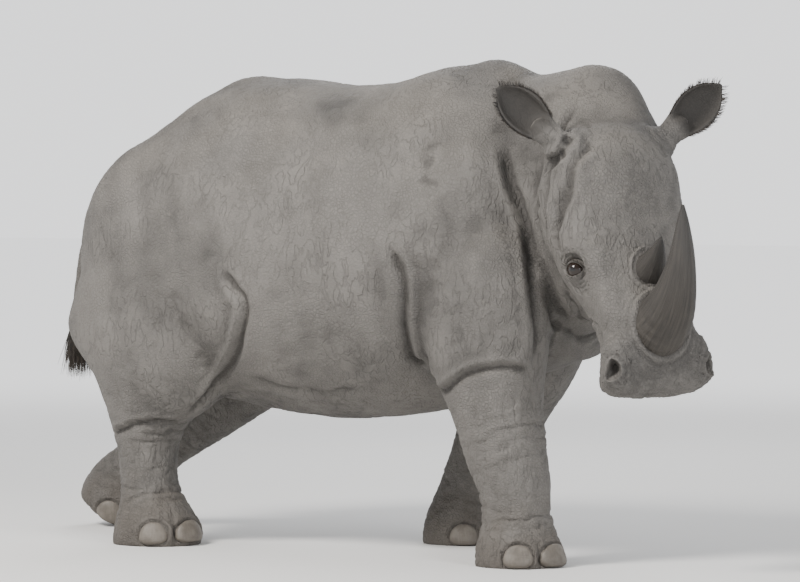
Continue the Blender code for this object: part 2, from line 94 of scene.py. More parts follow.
FLOOR_HALF = 60
FLOOR_TINT = (0.80, 0.79, 0.77, 1)
HORIZON = (1.55, 1.56, 1.58, 1)
OVERHEAD = (0.50, 0.51, 0.53, 1)
BAND_EDGE, BAND_END = 0.12, 0.42
FLOOR_GLOW = (0.961, 0.9672, 0.9796, 1)
GLOW_FROM, GLOW_FULL = 3.0, 14.0


def add_node(tree, kind, settings, inputs):
    """A node's outputs, after its settings and then its inputs, each a value or a socket."""
    made = tree.nodes.new(kind)
    for name, value in settings.items():
        setattr(made, name, value)
    for name, value in inputs.items():
        if isinstance(value, bpy.types.NodeSocket):
            tree.links.new(value, made.inputs[name])
        else:
            made.inputs[name].default_value = value
    return made.outputs


class Shade:
    """A socket in a material. Sums with it become Math nodes."""

    def __init__(self, coat, socket):
        self.coat = coat
        self.socket = socket

    def sum(self, operation, first, second):
        return self.coat.node("ShaderNodeMath", {"operation": operation}, {0: first, 1: second})

    def __add__(self, other):
        return self.sum("ADD", self, other)

    __radd__ = __add__

    def __mul__(self, other):
        return self.sum("MULTIPLY", self, other)

    __rmul__ = __mul__

    def __sub__(self, other):
        return self.sum("SUBTRACT", self, other)

    def __rsub__(self, other):
        return self.sum("SUBTRACT", other, self)

    def __abs__(self):
        return self.coat.node("ShaderNodeMath", {"operation": "ABSOLUTE"}, {0: self})

    def within(self, low, high):
        """0 below low and 1 above high, with soft ends."""
        settings = {"interpolation_type": "SMOOTHSTEP"}
        return self.coat.node("ShaderNodeMapRange", settings, {0: self, 1: low, 2: high})


class Coat:
    """A material whose nodes are added one by one."""

    def __init__(self, name, roughness, **fixed):
        self.material = bpy.data.materials.new(name)
        self.material.use_nodes = True
        self.tree = self.material.node_tree
        self.shader = self.tree.nodes["Principled BSDF"]
        self.shader.inputs["Roughness"].default_value = roughness
        for socket, value in fixed.items():
            self.shader.inputs[socket.replace("_", " ")].default_value = value

    def node(self, kind, settings, inputs, output=0):
        inputs = {name: getattr(value, "socket", value) for name, value in inputs.items()}
        return Shade(self, add_node(self.tree, kind, settings, inputs)[output])

    def places(self):
        return self.node("ShaderNodeTexCoord", {}, {}, "Object")

    def kept(self, name):
        """Numbers kept on the piece's points."""
        return self.node("ShaderNodeAttribute", {"attribute_name": name}, {}, "Fac")

    def noise(self, places, scale, detail=3.0, output=0):
        inputs = {"Vector": places, "Scale": scale, "Detail": detail}
        return self.node("ShaderNodeTexNoise", {}, inputs, output)

    def stretched(self, places, scale):
        return self.node("ShaderNodeMapping", {}, {"Vector": places, "Scale": scale})

    def warped(self, places, scale, amount):
        """The places pushed about by noise, so that a pattern wanders."""
        push = self.noise(places, scale, 2.0, "Color")
        middle = {"operation": "SUBTRACT"}
        centred = self.node("ShaderNodeVectorMath", middle, {0: push, 1: (0.5, 0.5, 0.5)})
        inputs = {0: centred, 1: (amount,) * 3, 2: places}
        return self.node("ShaderNodeVectorMath", {"operation": "MULTIPLY_ADD"}, inputs)

    def cracks(self, places, scale):
        """Distance from the edges of irregular cells, which is 0 in a crack."""
        settings = {"feature": "DISTANCE_TO_EDGE"}
        return self.node("ShaderNodeTexVoronoi", settings, {"Vector": places, "Scale": scale})

    def mix(self, share, first, second):
        return self.node("ShaderNodeMix", {"data_type": "RGBA"}, {0: share, 6: first, 7: second}, 2)

    def feed(self, socket, shade):
        self.tree.links.new(shade.socket, self.shader.inputs[socket])

    def finish(self, colour, height=None, depth=0.001, roughness=None):
        self.feed("Base Color", colour)
        if roughness is not None:
            self.feed("Roughness", roughness)
        if height is not None:
            bump = {"Height": height, "Distance": depth, "Strength": 1.0}
            self.feed("Normal", self.node("ShaderNodeBump", {}, bump))
        return self.material


def made_object(name, bm):
    mesh = bpy.data.meshes.new(name)
    bm.to_mesh(mesh)
    bm.free()
    made = bpy.data.objects.new(name, mesh)
    bpy.context.scene.collection.objects.link(made)
    return made


def studio_floor():
    bm = bmesh.new()
    bmesh.ops.create_grid(bm, x_segments=1, y_segments=1, size=FLOOR_HALF)
    made = made_object("studio_floor", bm)
    paper = Coat("pale_floor", 0.9, Base_Color=FLOOR_TINT, Emission_Strength=1.0)
    length = {"operation": "LENGTH"}
    away = paper.node("ShaderNodeVectorMath", length, {0: paper.places()}, "Value")
    paper.feed("Emission Color", paper.mix(away.within(GLOW_FROM, GLOW_FULL), (0, 0, 0, 1), FLOOR_GLOW))
    made.data.materials.append(paper.material)
    return made


floor = studio_floor()

VIEW_TURN = math.radians(35)
VIEW_AWAY = 15
VIEW_HEIGHT = 1.35
NEAR_FOOT = Vector((0.72, -0.33, 0))


def stood(name, data, place, back):
    """A camera or a lamp at a place, looking away from back."""
    made = bpy.data.objects.new(name, data)
    bpy.context.scene.collection.objects.link(made)
    made.location = place
    made.rotation_euler = back.to_track_quat("Z", "Y").to_euler()
    return made


view_back = Vector((math.sin(VIEW_TURN), -math.cos(VIEW_TURN), 0))
camera_data = bpy.data.cameras.new("camera")
camera_data.lens = 194.4
camera_data.sensor_width = 36
camera_data.shift_y = -0.1435
camera_data.clip_end = 100
view_place = view_back * (VIEW_AWAY + NEAR_FOOT.dot(view_back)) + UP * VIEW_HEIGHT + CENTRING
bpy.context.scene.camera = stood("camera", camera_data, view_place, view_back)

# Place, where it points, breadth, watts and tint of each lamp.
LAMPS = {
    "key": ((-1.2, -5.2, 5.6), (0.1, 0, 0.9), 2.2, 680, (1.0, 0.97, 0.93)),
    "front": ((6.5, -3.0, 2.6), (0.8, -0.2, 1.0), 2.6, 210, (0.97, 0.98, 1.0)),
    "rim": ((-2.5, 5.0, 5.0), (0, 0, 1.2), 3.0, 220, (0.95, 0.97, 1.0)),
}
for name, (place, aim, breadth, watts, tint) in LAMPS.items():
    lamp = bpy.data.lights.new(name, "AREA")
    lamp.shape = "DISK"
    lamp.size = breadth
    lamp.energy = watts
    lamp.color = tint
    stood(name, lamp, place, Vector(place) - Vector(aim))

sky = bpy.data.worlds.new("studio")
sky.use_nodes = True
plan = sky.node_tree
direction = add_node(plan, "ShaderNodeTexCoord", {}, {})["Generated"]
height = add_node(plan, "ShaderNodeSeparateXYZ", {}, {0: direction})["Z"]
height = add_node(plan, "ShaderNodeMath", {"operation": "ABSOLUTE"}, {0: height})[0]
band = {"Value": height, "From Min": BAND_EDGE, "From Max": BAND_END}
band = add_node(plan, "ShaderNodeMapRange", {"interpolation_type": "SMOOTHSTEP"}, band)[0]
tone = add_node(plan, "ShaderNodeMix", {"data_type": "RGBA"}, {0: band, 6: HORIZON, 7: OVERHEAD})[2]
plan.links.new(tone, plan.nodes["Background"].inputs["Color"])
bpy.context.scene.world = sky

# ---- The body under the hide -----------------------------------------------------------------
# Trunk, neck, head and legs, with the muscles, fat and bosses of bone that stand out of them. Each
# station is X, Y, Z, then half width, reach above, reach below and squareness, where 2 is round.

TRUNK = (
    (-1.28, 0.00, 0.96, 0.20, 0.22, 0.18, 2.0),
    (-1.20, 0.00, 0.98, 0.35, 0.30, 0.32, 2.0),
    (-1.06, 0.00, 1.01, 0.45, 0.455, 0.42, 2.1),
    (-0.84, 0.00, 1.01, 0.50, 0.635, 0.47, 2.1),
    (-0.55, 0.00, 1.00, 0.545, 0.715, 0.50, 2.1),
    (-0.20, 0.00, 0.98, 0.565, 0.705, 0.515, 2.1),
    (0.15, 0.00, 0.99, 0.54, 0.715, 0.485, 2.1),
    (0.42, 0.00, 1.03, 0.48, 0.735, 0.425, 2.0),
    (0.65, 0.00, 1.08, 0.41, 0.635, 0.40, 2.0),
    (0.82, 0.00, 1.10, 0.31, 0.45, 0.36, 2.0),
    (0.92, 0.00, 1.10, 0.18, 0.25, 0.20, 2.0),
)
NECK = (
    (0.36, 0.00, 1.25, 0.34, 0.45, 0.46, 2.0),
    (0.64, 0.00, 1.25, 0.33, 0.465, 0.49, 2.0),
    (0.85, -0.07, 1.25, 0.29, 0.475, 0.44, 2.0),
    (1.00, -0.18, 1.24, 0.25, 0.39, 0.38, 2.1),
    (1.10, -0.29, 1.23, 0.20, 0.25, 0.28, 2.1),
    (1.15, -0.35, 1.21, 0.12, 0.14, 0.18, 2.1),
)
HEAD = (
    (-0.12, 0.110, 0.080, 0.120, 2.0),
    (-0.06, 0.175, 0.145, 0.190, 2.0),
    (0.04, 0.230, 0.180, 0.245, 2.2),
    (0.14, 0.240, 0.172, 0.265, 2.3),
    (0.25, 0.236, 0.146, 0.285, 2.4),
    (0.36, 0.216, 0.130, 0.272, 2.4),
    (0.46, 0.182, 0.124, 0.235, 2.4),
    (0.56, 0.160, 0.122, 0.192, 2.5),
    (0.65, 0.156, 0.116, 0.155, 2.6),
    (0.73, 0.180, 0.094, 0.142, 2.8),
    (0.79, 0.198, 0.058, 0.132, 3.0),
    (0.835, 0.184, 0.015, 0.112, 2.8),
    (0.855, 0.095, -0.015, 0.075, 2.4),
)
LEGS = {
    "front_right": (
        (0.52, -0.20, 1.32, 0.10, 0.16, 0.18, 2.0),
        (0.56, -0.29, 1.10, 0.155, 0.23, 0.24, 2.0),
        (0.60, -0.34, 0.86, 0.180, 0.245, 0.25, 2.1),
        (0.63, -0.35, 0.68, 0.172, 0.210, 0.205, 2.1),
        (0.66, -0.35, 0.53, 0.150, 0.165, 0.163, 2.1),
        (0.695, -0.345, 0.38, 0.138, 0.145, 0.143, 2.1),
        (0.720, -0.34, 0.27, 0.122, 0.130, 0.120, 2.1),
        (0.730, -0.34, 0.17, 0.116, 0.123, 0.115, 2.1),
        (0.733, -0.34, 0.09, 0.140, 0.150, 0.130, 2.2),
        (0.733, -0.34, 0.03, 0.152, 0.165, 0.138, 2.3),
        (0.733, -0.34, -0.03, 0.146, 0.158, 0.130, 2.3),
    ),
    "front_left": (
        (0.48, 0.20, 1.32, 0.10, 0.16, 0.18, 2.0),
        (0.45, 0.29, 1.10, 0.155, 0.22, 0.24, 2.0),
        (0.40, 0.34, 0.88, 0.180, 0.215, 0.245, 2.1),
        (0.34, 0.35, 0.70, 0.168, 0.190, 0.205, 2.1),
        (0.26, 0.35, 0.54, 0.150, 0.155, 0.165, 2.1),
        (0.18, 0.34, 0.39, 0.138, 0.142, 0.142, 2.1),
        (0.115, 0.335, 0.27, 0.120, 0.128, 0.118, 2.1),
        (0.075, 0.33, 0.17, 0.116, 0.123, 0.115, 2.1),
        (0.055, 0.33, 0.09, 0.140, 0.150, 0.132, 2.2),
        (0.050, 0.33, 0.03, 0.152, 0.165, 0.140, 2.3),
        (0.050, 0.33, -0.03, 0.146, 0.158, 0.132, 2.3),
    ),
    "hind_right": (
        (-0.84, -0.18, 1.36, 0.12, 0.20, 0.20, 2.0),
        (-0.83, -0.27, 1.15, 0.19, 0.34, 0.34, 2.0),
        (-0.81, -0.32, 0.92, 0.205, 0.375, 0.42, 2.1),
        (-0.81, -0.34, 0.74, 0.205, 0.335, 0.445, 2.1),
        (-0.84, -0.34, 0.60, 0.178, 0.250, 0.362, 2.1),
        (-0.88, -0.335, 0.48, 0.135, 0.152, 0.208, 2.1),
        (-0.895, -0.335, 0.38, 0.114, 0.118, 0.135, 2.1),
        (-0.893, -0.34, 0.27, 0.102, 0.112, 0.110, 2.1),
        (-0.880, -0.345, 0.17, 0.108, 0.120, 0.112, 2.1),
        (-0.865, -0.35, 0.09, 0.138, 0.162, 0.138, 2.2),
        (-0.858, -0.35, 0.03, 0.150, 0.180, 0.148, 2.3),
        (-0.858, -0.35, -0.03, 0.144, 0.173, 0.142, 2.3),
    ),
    "hind_left": (
        (-0.86, 0.18, 1.36, 0.12, 0.20, 0.20, 2.0),
        (-0.86, 0.27, 1.15, 0.19, 0.33, 0.33, 2.0),
        (-0.85, 0.32, 0.94, 0.205, 0.35, 0.40, 2.1),
        (-0.88, 0.33, 0.78, 0.195, 0.31, 0.38, 2.1),
        (-0.94, 0.32, 0.65, 0.165, 0.24, 0.29, 2.1),
        (-1.03, 0.30, 0.53, 0.130, 0.165, 0.180, 2.1),
        (-1.15, 0.275, 0.42, 0.113, 0.128, 0.132, 2.1),
        (-1.27, 0.26, 0.335, 0.102, 0.110, 0.108, 2.1),
        (-1.385, 0.255, 0.252, 0.110, 0.118, 0.106, 2.1),
        (-1.475, 0.255, 0.176, 0.130, 0.142, 0.122, 2.2),
        (-1.53, 0.255, 0.100, 0.140, 0.152, 0.130, 2.3),
        (-1.558, 0.255, 0.058, 0.128, 0.140, 0.118, 2.3),
    ),
}
# Hump, rump and withers; the bosses under the horns, the muzzle and the lower lip; then, on both
# sides, shoulder and thigh, jowl, brow, nostril and ear boss. Each is a place and three radii.
BODY_LUMPS = (
    ((0.88, -0.06, 1.54), (0.20, 0.15, 0.21)),
    ((-0.63, 0, 1.51), (0.24, 0.20, 0.22)),
    ((0.43, 0, 1.50), (0.25, 0.17, 0.275)),
)
HEAD_LUMPS = (
    ((0.61, 0.088), (0.120, 0.06, 0.120)),
    ((0.44, 0.090), (0.085, 0.05, 0.095)),
    ((0.775, -0.035), (0.075, 0.06, 0.202)),
    ((0.745, -0.110), (0.090, 0.045, 0.156)),
)
PAIRED_BODY_LUMPS = (
    ((0.50, 0.26, 1.16), (0.25, 0.19, 0.40)),
    ((-0.86, 0.25, 1.08), (0.38, 0.25, 0.42)),
)
PAIRED_HEAD_LUMPS = (
    ((0.23, -0.10, 0.125), (0.18, 0.15, 0.085)),
    ((0.36, 0.060, 0.158), (0.11, 0.050, 0.048)),
    ((0.735, 0.010, 0.140), (0.08, 0.068, 0.057)),
    ((-0.01, 0.05, 0.135), (0.10, 0.09, 0.075)),
)
BODY_GRAIN = 0.013


def smooth_rows(rows, count):
    """Rows of numbers resampled to count rows on a smooth curve through them."""
    table = np.array(rows, float)
    steps = np.linalg.norm(np.diff(table[:, :3], axis=0), axis=1)
    knots = np.concatenate([[0.0], np.cumsum(steps)])
    slopes = np.gradient(table, knots, axis=0)
    places = np.linspace(0, knots[-1], count)
    index = np.clip(np.searchsorted(knots, places, side="right") - 1, 0, len(knots) - 2)
    span = (knots[index + 1] - knots[index])[:, None]
    t = (places[:, None] - knots[index][:, None]) / span
    return (
        table[index] * (1 + 2 * t) * (1 - t) ** 2
        + slopes[index] * span * t * (1 - t) ** 2
        + table[index + 1] * t**2 * (3 - 2 * t)
        + slopes[index + 1] * span * t**2 * (t - 1)
    )


def add_loft(bm, loops):
    """Quads between rings of points, with capped ends."""
    rings = [[bm.verts.new(point) for point in loop] for loop in loops]
    for low, high in zip(rings, rings[1:]):
        for k in range(len(low)):
            after = (k + 1) % len(low)
            bm.faces.new((low[k], low[after], high[after], high[k]))
    bm.faces.new(rings[0][::-1])
    bm.faces.new(rings[-1])


def sweep_loops(rows, rings, side=None, points=44):
    """Cross-sections along the rows' places, square to the path, or upright with no side given."""
    table = smooth_rows(rows, rings)
    tangents = np.gradient(table[:, :3], axis=0)
    turn = 2 * math.pi * np.arange(points) / points
    loops = []
    for row, tangent in zip(table, tangents):
        ahead = Vector(tangent).normalized()
        across = UP.cross(ahead) if side is None else side - ahead * side.dot(ahead)
        across.normalize()
        rise = ahead.cross(across)
        power = 2 / row[6]
        wide = np.sign(np.cos(turn)) * np.abs(np.cos(turn)) ** power * row[3]
        tall = np.sign(np.sin(turn)) * np.abs(np.sin(turn)) ** power
        tall = np.where(tall > 0, tall * row[4], tall * row[5])
        middle = row[:3] + np.array(CENTRING)
        loops.append(middle + wide[:, None] * np.array(across) + tall[:, None] * np.array(rise))
    return loops


def add_lump(bm, centre, radii, axes=(FORWARD, LEFT, UP)):
    """An ellipsoid mass, such as a muscle, with its radii along the given axes."""
    turn = Matrix([axis * radius for axis, radius in zip(axes, radii)]).transposed().to_4x4()
    turn.translation = centre
    bmesh.ops.create_uvsphere(bm, u_segments=24, v_segments=14, radius=1, matrix=turn)


def settle(obj):
    """The object's modifiers made part of its mesh."""
    graph = bpy.context.evaluated_depsgraph_get()
    mesh = bpy.data.meshes.new_from_object(obj.evaluated_get(graph), depsgraph=graph)
    obj.modifiers.clear()
    obj.data = mesh


def fuse(obj, grain):
    """One closed skin round everything in the object."""
    wrap = obj.modifiers.new("fuse", "REMESH")
    wrap.mode = "VOXEL"
    wrap.voxel_size = grain
    settle(obj)


def soften(obj, factor, rounds, share=None):
    """Smooths the object, wholly or by each point's share from 0 to 1."""
    blend = obj.modifiers.new("soften", "SMOOTH")
    blend.factor = factor
    blend.iterations = rounds
    if share is not None:
        group = obj.vertex_groups.new(name="soft")
        for step in range(1, 11):
            chosen = np.flatnonzero(np.round(share * 10) == step)
            group.add(chosen.tolist(), step / 10, "REPLACE")
        blend.vertex_group = group.name
    settle(obj)
    obj.vertex_groups.clear()


def points_of(mesh):
    points = np.empty(len(mesh.vertices) * 3, np.float32)
    mesh.vertices.foreach_get("co", points)
    return points.reshape(-1, 3).astype(float)


def normals_of(mesh):
    normals = np.empty(len(mesh.vertices) * 3, np.float32)
    mesh.vertex_normals.foreach_get("vector", normals)
    return normals.reshape(-1, 3).astype(float)


def put_points(mesh, points):
    mesh.vertices.foreach_set("co", points.astype(np.float32).ravel())
    mesh.update()


def keep_on_points(mesh, **notes):
    """Numbers on the mesh's points, for its material to read."""
    for name, values in notes.items():
        mesh.attributes.new(name, "FLOAT", "POINT").data.foreach_set("value", values.astype(np.float32))


def body_under_hide():
    """The fused and smoothed body, as small even quads."""
    bm = bmesh.new()
    head_rows = [(*(head_point(row[0]) - CENTRING), *row[1:]) for row in HEAD]
    add_loft(bm, sweep_loops(TRUNK, 60))
    add_loft(bm, sweep_loops(NECK, 30))
    add_loft(bm, sweep_loops(head_rows, 44, CHEEK))
    for rows in LEGS.values():
        add_loft(bm, sweep_loops(rows, 46, LEFT))
    for place, radii in BODY_LUMPS:
        add_lump(bm, CENTRING + Vector(place), radii)
    for place, radii in HEAD_LUMPS:
        add_lump(bm, head_point(*place), radii, (ALONG, BROW, CHEEK))
    for sign in (-1, 1):
        for (x, y, z), radii in PAIRED_BODY_LUMPS:
            add_lump(bm, CENTRING + Vector((x, y * sign, z)), radii)
        for (along, out, left), radii in PAIRED_HEAD_LUMPS:
            add_lump(bm, head_point(along, out, left * sign), radii, (ALONG, BROW, CHEEK))
    bmesh.ops.recalc_face_normals(bm, faces=bm.faces)
    body = made_object("hide", bm)
    fuse(body, BODY_GRAIN)
    points = points_of(body.data)
    along_neck = (points - np.array(head_point(0.0))) @ np.array((ALONG + BROW * 0.6).normalized())
    head_share = np.clip(along_neck / 0.10 + 0.9, 0, 1)
    low_share = np.clip((0.50 - points[:, 2]) / 0.25, 0, 1)
    soften(body, 0.5, 70, 1.0 - 0.93 * np.maximum(head_share, 0.85 * low_share))
    soften(body, 0.5, 5)
    finer = body.modifiers.new("finer", "SUBSURF")
    finer.levels = 1
    finer.render_levels = 1
    settle(body)
    return body


hide = body_under_hide()

# ---- Ears ------------------------------------------------------------------------------------
# Each ear is a tube of gristle at the root that opens to a long cup with a pointed tip. Its root
# grows out of the poll with a few skin rolls, and the cups face ahead and a little outwards.

# Distance from the root, half width, depth behind the axis, how far the cup has opened.
EAR = (
    (0.000, 0.040, 0.036, 0.0),
    (0.040, 0.042, 0.038, 0.0),
    (0.080, 0.046, 0.040, 0.10),
    (0.120, 0.054, 0.044, 0.55),
    (0.160, 0.067, 0.048, 0.95),
    (0.205, 0.073, 0.047, 1.0),
    (0.250, 0.065, 0.040, 1.0),
    (0.290, 0.044, 0.028, 1.0),
    (0.318, 0.016, 0.014, 1.0),
    (0.328, 0.005, 0.008, 1.0),
)
EAR_WALL = 0.0105
EAR_SWEEP = 192


def ear_axes(sign):
    """Root, way out, way the cup faces and way across, for the right ear (-1) or the left (1)."""
    root = head_point(-0.02, 0.045, 0.165 * sign)
    ahead = Vector((math.cos(HEAD_YAW), math.sin(HEAD_YAW), 0))
    axis = (CHEEK * sign * 0.68 + UP * 0.66 + ahead * (0.10 + 0.20 * sign)).normalized()
    face = Vector((math.cos(HEAD_YAW * 1.5), math.sin(HEAD_YAW * 1.5), 0))
    face = (face - axis * face.dot(axis)).normalized()
    return root, axis, face, axis.cross(face)


def from_ear(points, sign):
    """How far points lie along an ear's axis, and away from it."""
    root, axis = (np.array(part) for part in ear_axes(sign)[:2])
    gap = points - root
    reach = gap @ axis
    return reach, np.linalg.norm(gap - np.outer(reach, axis), axis=1)


def ear_loops(sign, rings=44, points=26):
    root, axis, face, side = ear_axes(sign)
    table = smooth_rows([(row[0], 0, 0, *row[1:]) for row in EAR], rings)
    loops = []
    for reach, _, _, half_width, depth, opened in table:
        opened = min(max(opened, 0.0), 1.0)
        wall = min(EAR_WALL, half_width * 0.6)
        place = root + axis * reach - face * 0.20 * max(reach - 0.12, 0)
        outer = []
        inner = []
        for k in range(points):
            turn = math.radians(EAR_SWEEP * k / (points - 1) - EAR_SWEEP / 2)
            across = math.sin(turn)
            behind = math.cos(turn)
            outer.append(place + side * half_width * across - face * depth * behind)
            hollow = -depth * 0.9 * (1 - opened) + max(depth - wall, 0.002) * opened
            width = (half_width - wall) * across * 0.98
            inner.append(place + side * width - face * (hollow * behind - 0.004))
        loops.append(outer + inner[::-1])
    return loops


# ---- Tail ------------------------------------------------------------------------------------
# A round tail, thick at the root, that hangs down the rump to its left edge and ends in a flat
# tuft of stiff hair.

TAIL = (
    (-1.13, 0.00, 1.44, 0.052, 0.050, 0.050, 2.0),
    (-1.22, 0.00, 1.40, 0.050, 0.048, 0.048, 2.0),
    (-1.315, -0.03, 1.29, 0.040, 0.038, 0.038, 2.0),
    (-1.385, -0.08, 1.10, 0.030, 0.028, 0.028, 2.0),
    (-1.415, -0.10, 0.90, 0.024, 0.021, 0.021, 2.0),
    (-1.420, -0.105, 0.80, 0.021, 0.018, 0.018, 2.0),
)

# ---- One hide over all the flesh -------------------------------------------------------------
# Thick grey hide over trunk, neck, head, legs, ears and tail, without a seam. It folds where the
# limbs swing and the neck bends, and is finely creased everywhere.

HIDE_GRAIN = 0.0045

bm = bmesh.new()
bm.from_mesh(hide.data)
for sign in (-1, 1):
    add_loft(bm, ear_loops(sign))
    root, axis, face, side = ear_axes(sign)
    add_lump(bm, root + axis * 0.012, (0.085, 0.064, 0.062), (axis, face, side))
    add_lump(bm, root + axis * 0.070 + face * 0.002, (0.070, 0.032, 0.038), (axis, face, side))
    add_lump(bm, root + axis * 0.105 - face * 0.010, (0.050, 0.026, 0.040), (axis, face, side))
add_loft(bm, sweep_loops(TAIL, 50, LEFT, 24))
bmesh.ops.recalc_face_normals(bm, faces=bm.faces)
bm.to_mesh(hide.data)
bm.free()
fuse(hide, HIDE_GRAIN)

# The roots of the ears and of the tail run smoothly into the body.
spots = points_of(hide.data)
nearness = np.zeros(len(spots))
for sign in (-1, 1):
    reach, away = from_ear(spots, sign)
    around = np.clip((0.13 - away) / 0.04, 0, 1)
    nearness = np.maximum(nearness, around * np.clip((0.165 - reach) / 0.06, 0, 1) * (reach > -0.10))
tail_root = np.linalg.norm(spots - np.array(Vector((-1.22, 0, 1.38)) + CENTRING), axis=1)
nearness = np.maximum(nearness, np.clip((0.16 - tail_root) / 0.06, 0, 1))
soften(hide, 0.6, 26, nearness)
soften(hide, 0.5, 3)

# ---- Folds of the hide -----------------------------------------------------------------------
# The hide is too thick to pucker where the limbs swing and the neck bends, so it lies in a few deep
# folds, each with a roll of skin beside it. They are pressed in along paths laid down on the body.

spots = points_of(hide.data)
facing = normals_of(hide.data)
on_hide = BVHTree.FromObject(hide, bpy.context.evaluated_depsgraph_get())


def smoothed(share):
    """An S-shaped rise from 0 to 1."""
    share = np.clip(share, 0, 1)
    return share * share * (3 - 2 * share)


def mottle(places, size, seed, waves=9):
    """A smooth irregular field between about -1 and 1, with lumps of the given size."""
    chance = np.random.default_rng(seed)
    total = np.zeros(len(places))
    for _ in range(waves):
        way = chance.normal(size=3)
        way *= math.tau / (size * chance.uniform(0.7, 1.5) * np.linalg.norm(way))
        total += np.sin(places @ way + chance.uniform(0, math.tau))
    return total / math.sqrt(2 * waves)


def laid_line(path, step=0.006):
    """A smooth curve through the given places, laid down on the hide."""
    reach = sum((Vector(b) - Vector(a)).length for a, b in zip(path, path[1:]))
    table = smooth_rows(path, max(int(reach / step), 8))
    return np.array([on_hide.find_nearest(Vector(row))[0] for row in table])


def nearest_on(line, here):
    """How far places are from a line of points, and which of them is nearest to each."""
    best = np.full(len(here), 1e9)
    nearest = np.zeros(len(here), int)
    for k, place in enumerate(line):
        gap = ((here - place) ** 2).sum(axis=1)
        closer = gap < best
        best[closer] = gap[closer]
        nearest[closer] = k
    return np.sqrt(best), nearest


def fold(path, depth, width, roll=0.0, over=None, fade=0.18, sway=0.0):
    """Presses a crease into the hide along a path in the model. The skin rolls up on the side that
    over points to, or on both sides."""
    line = laid_line([Vector(place) + CENTRING for place in path])
    margin = 5 * width + 0.01
    inside = (spots > line.min(0) - margin) & (spots < line.max(0) + margin)
    chosen = np.flatnonzero(inside.all(axis=1))
    here = spots[chosen] + sway * np.stack([mottle(spots[chosen], 0.11, s) for s in (3, 4, 5)], 1)
    away, nearest = nearest_on(line, here)
    share = nearest / (len(line) - 1)
    ends = smoothed(share / fade) * smoothed((1 - share) / fade)
    widths = away / width
    push = -depth * np.exp(-(widths**2))
    rolled = roll * np.exp(-(((widths - 2.0) / 1.1) ** 2))
    if over is not None:
        side = ((here - line[nearest]) @ np.array(Vector(over).normalized())) / width
        rolled *= smoothed(side / 1.5 + 0.3)
    amount = (push + rolled) * ends * (away < margin)
    spots[chosen] += facing[chosen] * amount[:, None]


# Folds of the near, right side: behind and before the shoulder, over the foreleg, from the flank
# round the stifle and under the thigh. The left legs trail, so their folds sit further back.
SHOULDER_REAR = (
    ((0.30, -0.53, 1.13), (0.355, -0.494, 0.988), (0.34, -0.455, 0.812), (0.335, -0.40, 0.686),
     (0.40, -0.42, 0.62), (0.485, -0.449, 0.606)),
    ((0.20, 0.53, 1.13), (0.225, 0.494, 0.988), (0.12, 0.455, 0.812), (0.045, 0.40, 0.686),
     (0.06, 0.42, 0.62), (0.125, 0.449, 0.606)),
)
SHOULDER_FRONT = (
    ((0.66, -0.31, 1.48), (0.70, -0.335, 1.35), (0.772, -0.349, 1.198), (0.833, -0.377, 0.923),
     (0.836, -0.371, 0.751), (0.825, -0.397, 0.682)),
    ((0.62, 0.31, 1.48), (0.64, 0.335, 1.35), (0.66, 0.349, 1.198), (0.62, 0.377, 0.923),
     (0.54, 0.371, 0.751), (0.50, 0.397, 0.682)),
)
FORELEG_TOP = (
    ((0.46, -0.44, 0.60), (0.504, -0.465, 0.60), (0.657, -0.518, 0.669), (0.759, -0.485, 0.691),
     (0.835, -0.40, 0.682)),
    ((0.10, 0.44, 0.60), (0.144, 0.465, 0.60), (0.345, 0.518, 0.669), (0.445, 0.485, 0.691),
     (0.51, 0.40, 0.682)),
)
STIFLE = (
    ((-0.40, -0.56, 1.03), (-0.336, -0.56, 0.962), (-0.293, -0.557, 0.909), (-0.341, -0.512, 0.764),
     (-0.46, -0.43, 0.65), (-0.555, -0.38, 0.58), (-0.704, -0.382, 0.467)),
    ((-0.44, 0.56, 1.03), (-0.37, 0.56, 0.962), (-0.33, 0.557, 0.909), (-0.39, 0.512, 0.764),
     (-0.52, 0.43, 0.66), (-0.65, 0.38, 0.60), (-0.84, 0.37, 0.50)),
)
THIGH_FOOT = (
    ((-0.985, -0.40, 0.40), (-0.90, -0.45, 0.43), (-0.803, -0.446, 0.452), (-0.717, -0.378, 0.459)),
    ((-1.20, 0.32, 0.46), (-1.10, 0.38, 0.47), (-0.99, 0.38, 0.50), (-0.92, 0.34, 0.53)),
)
# Depth, width, height of the roll, the side that it is on and how slowly the ends run out.
limb_folds = (
    (SHOULDER_REAR, 0.020, 0.017, 0.010, (1, 0, 0.2), 0.15),
    (SHOULDER_FRONT, 0.020, 0.020, 0.008, (-1, 0, 0), 0.15),
    (FORELEG_TOP, 0.016, 0.015, 0.010, (0, 0, 1), 0.12),
    (STIFLE, 0.020, 0.018, 0.011, (-1, 0, 0.4), 0.12),
    (THIGH_FOOT, 0.013, 0.014, 0.008, (0, 0, 1), 0.15),
)
for paths, *shape in limb_folds:
    for path in paths:
        fold(path, *shape)
put_points(hide.data, spots)
facing = normals_of(hide.data)

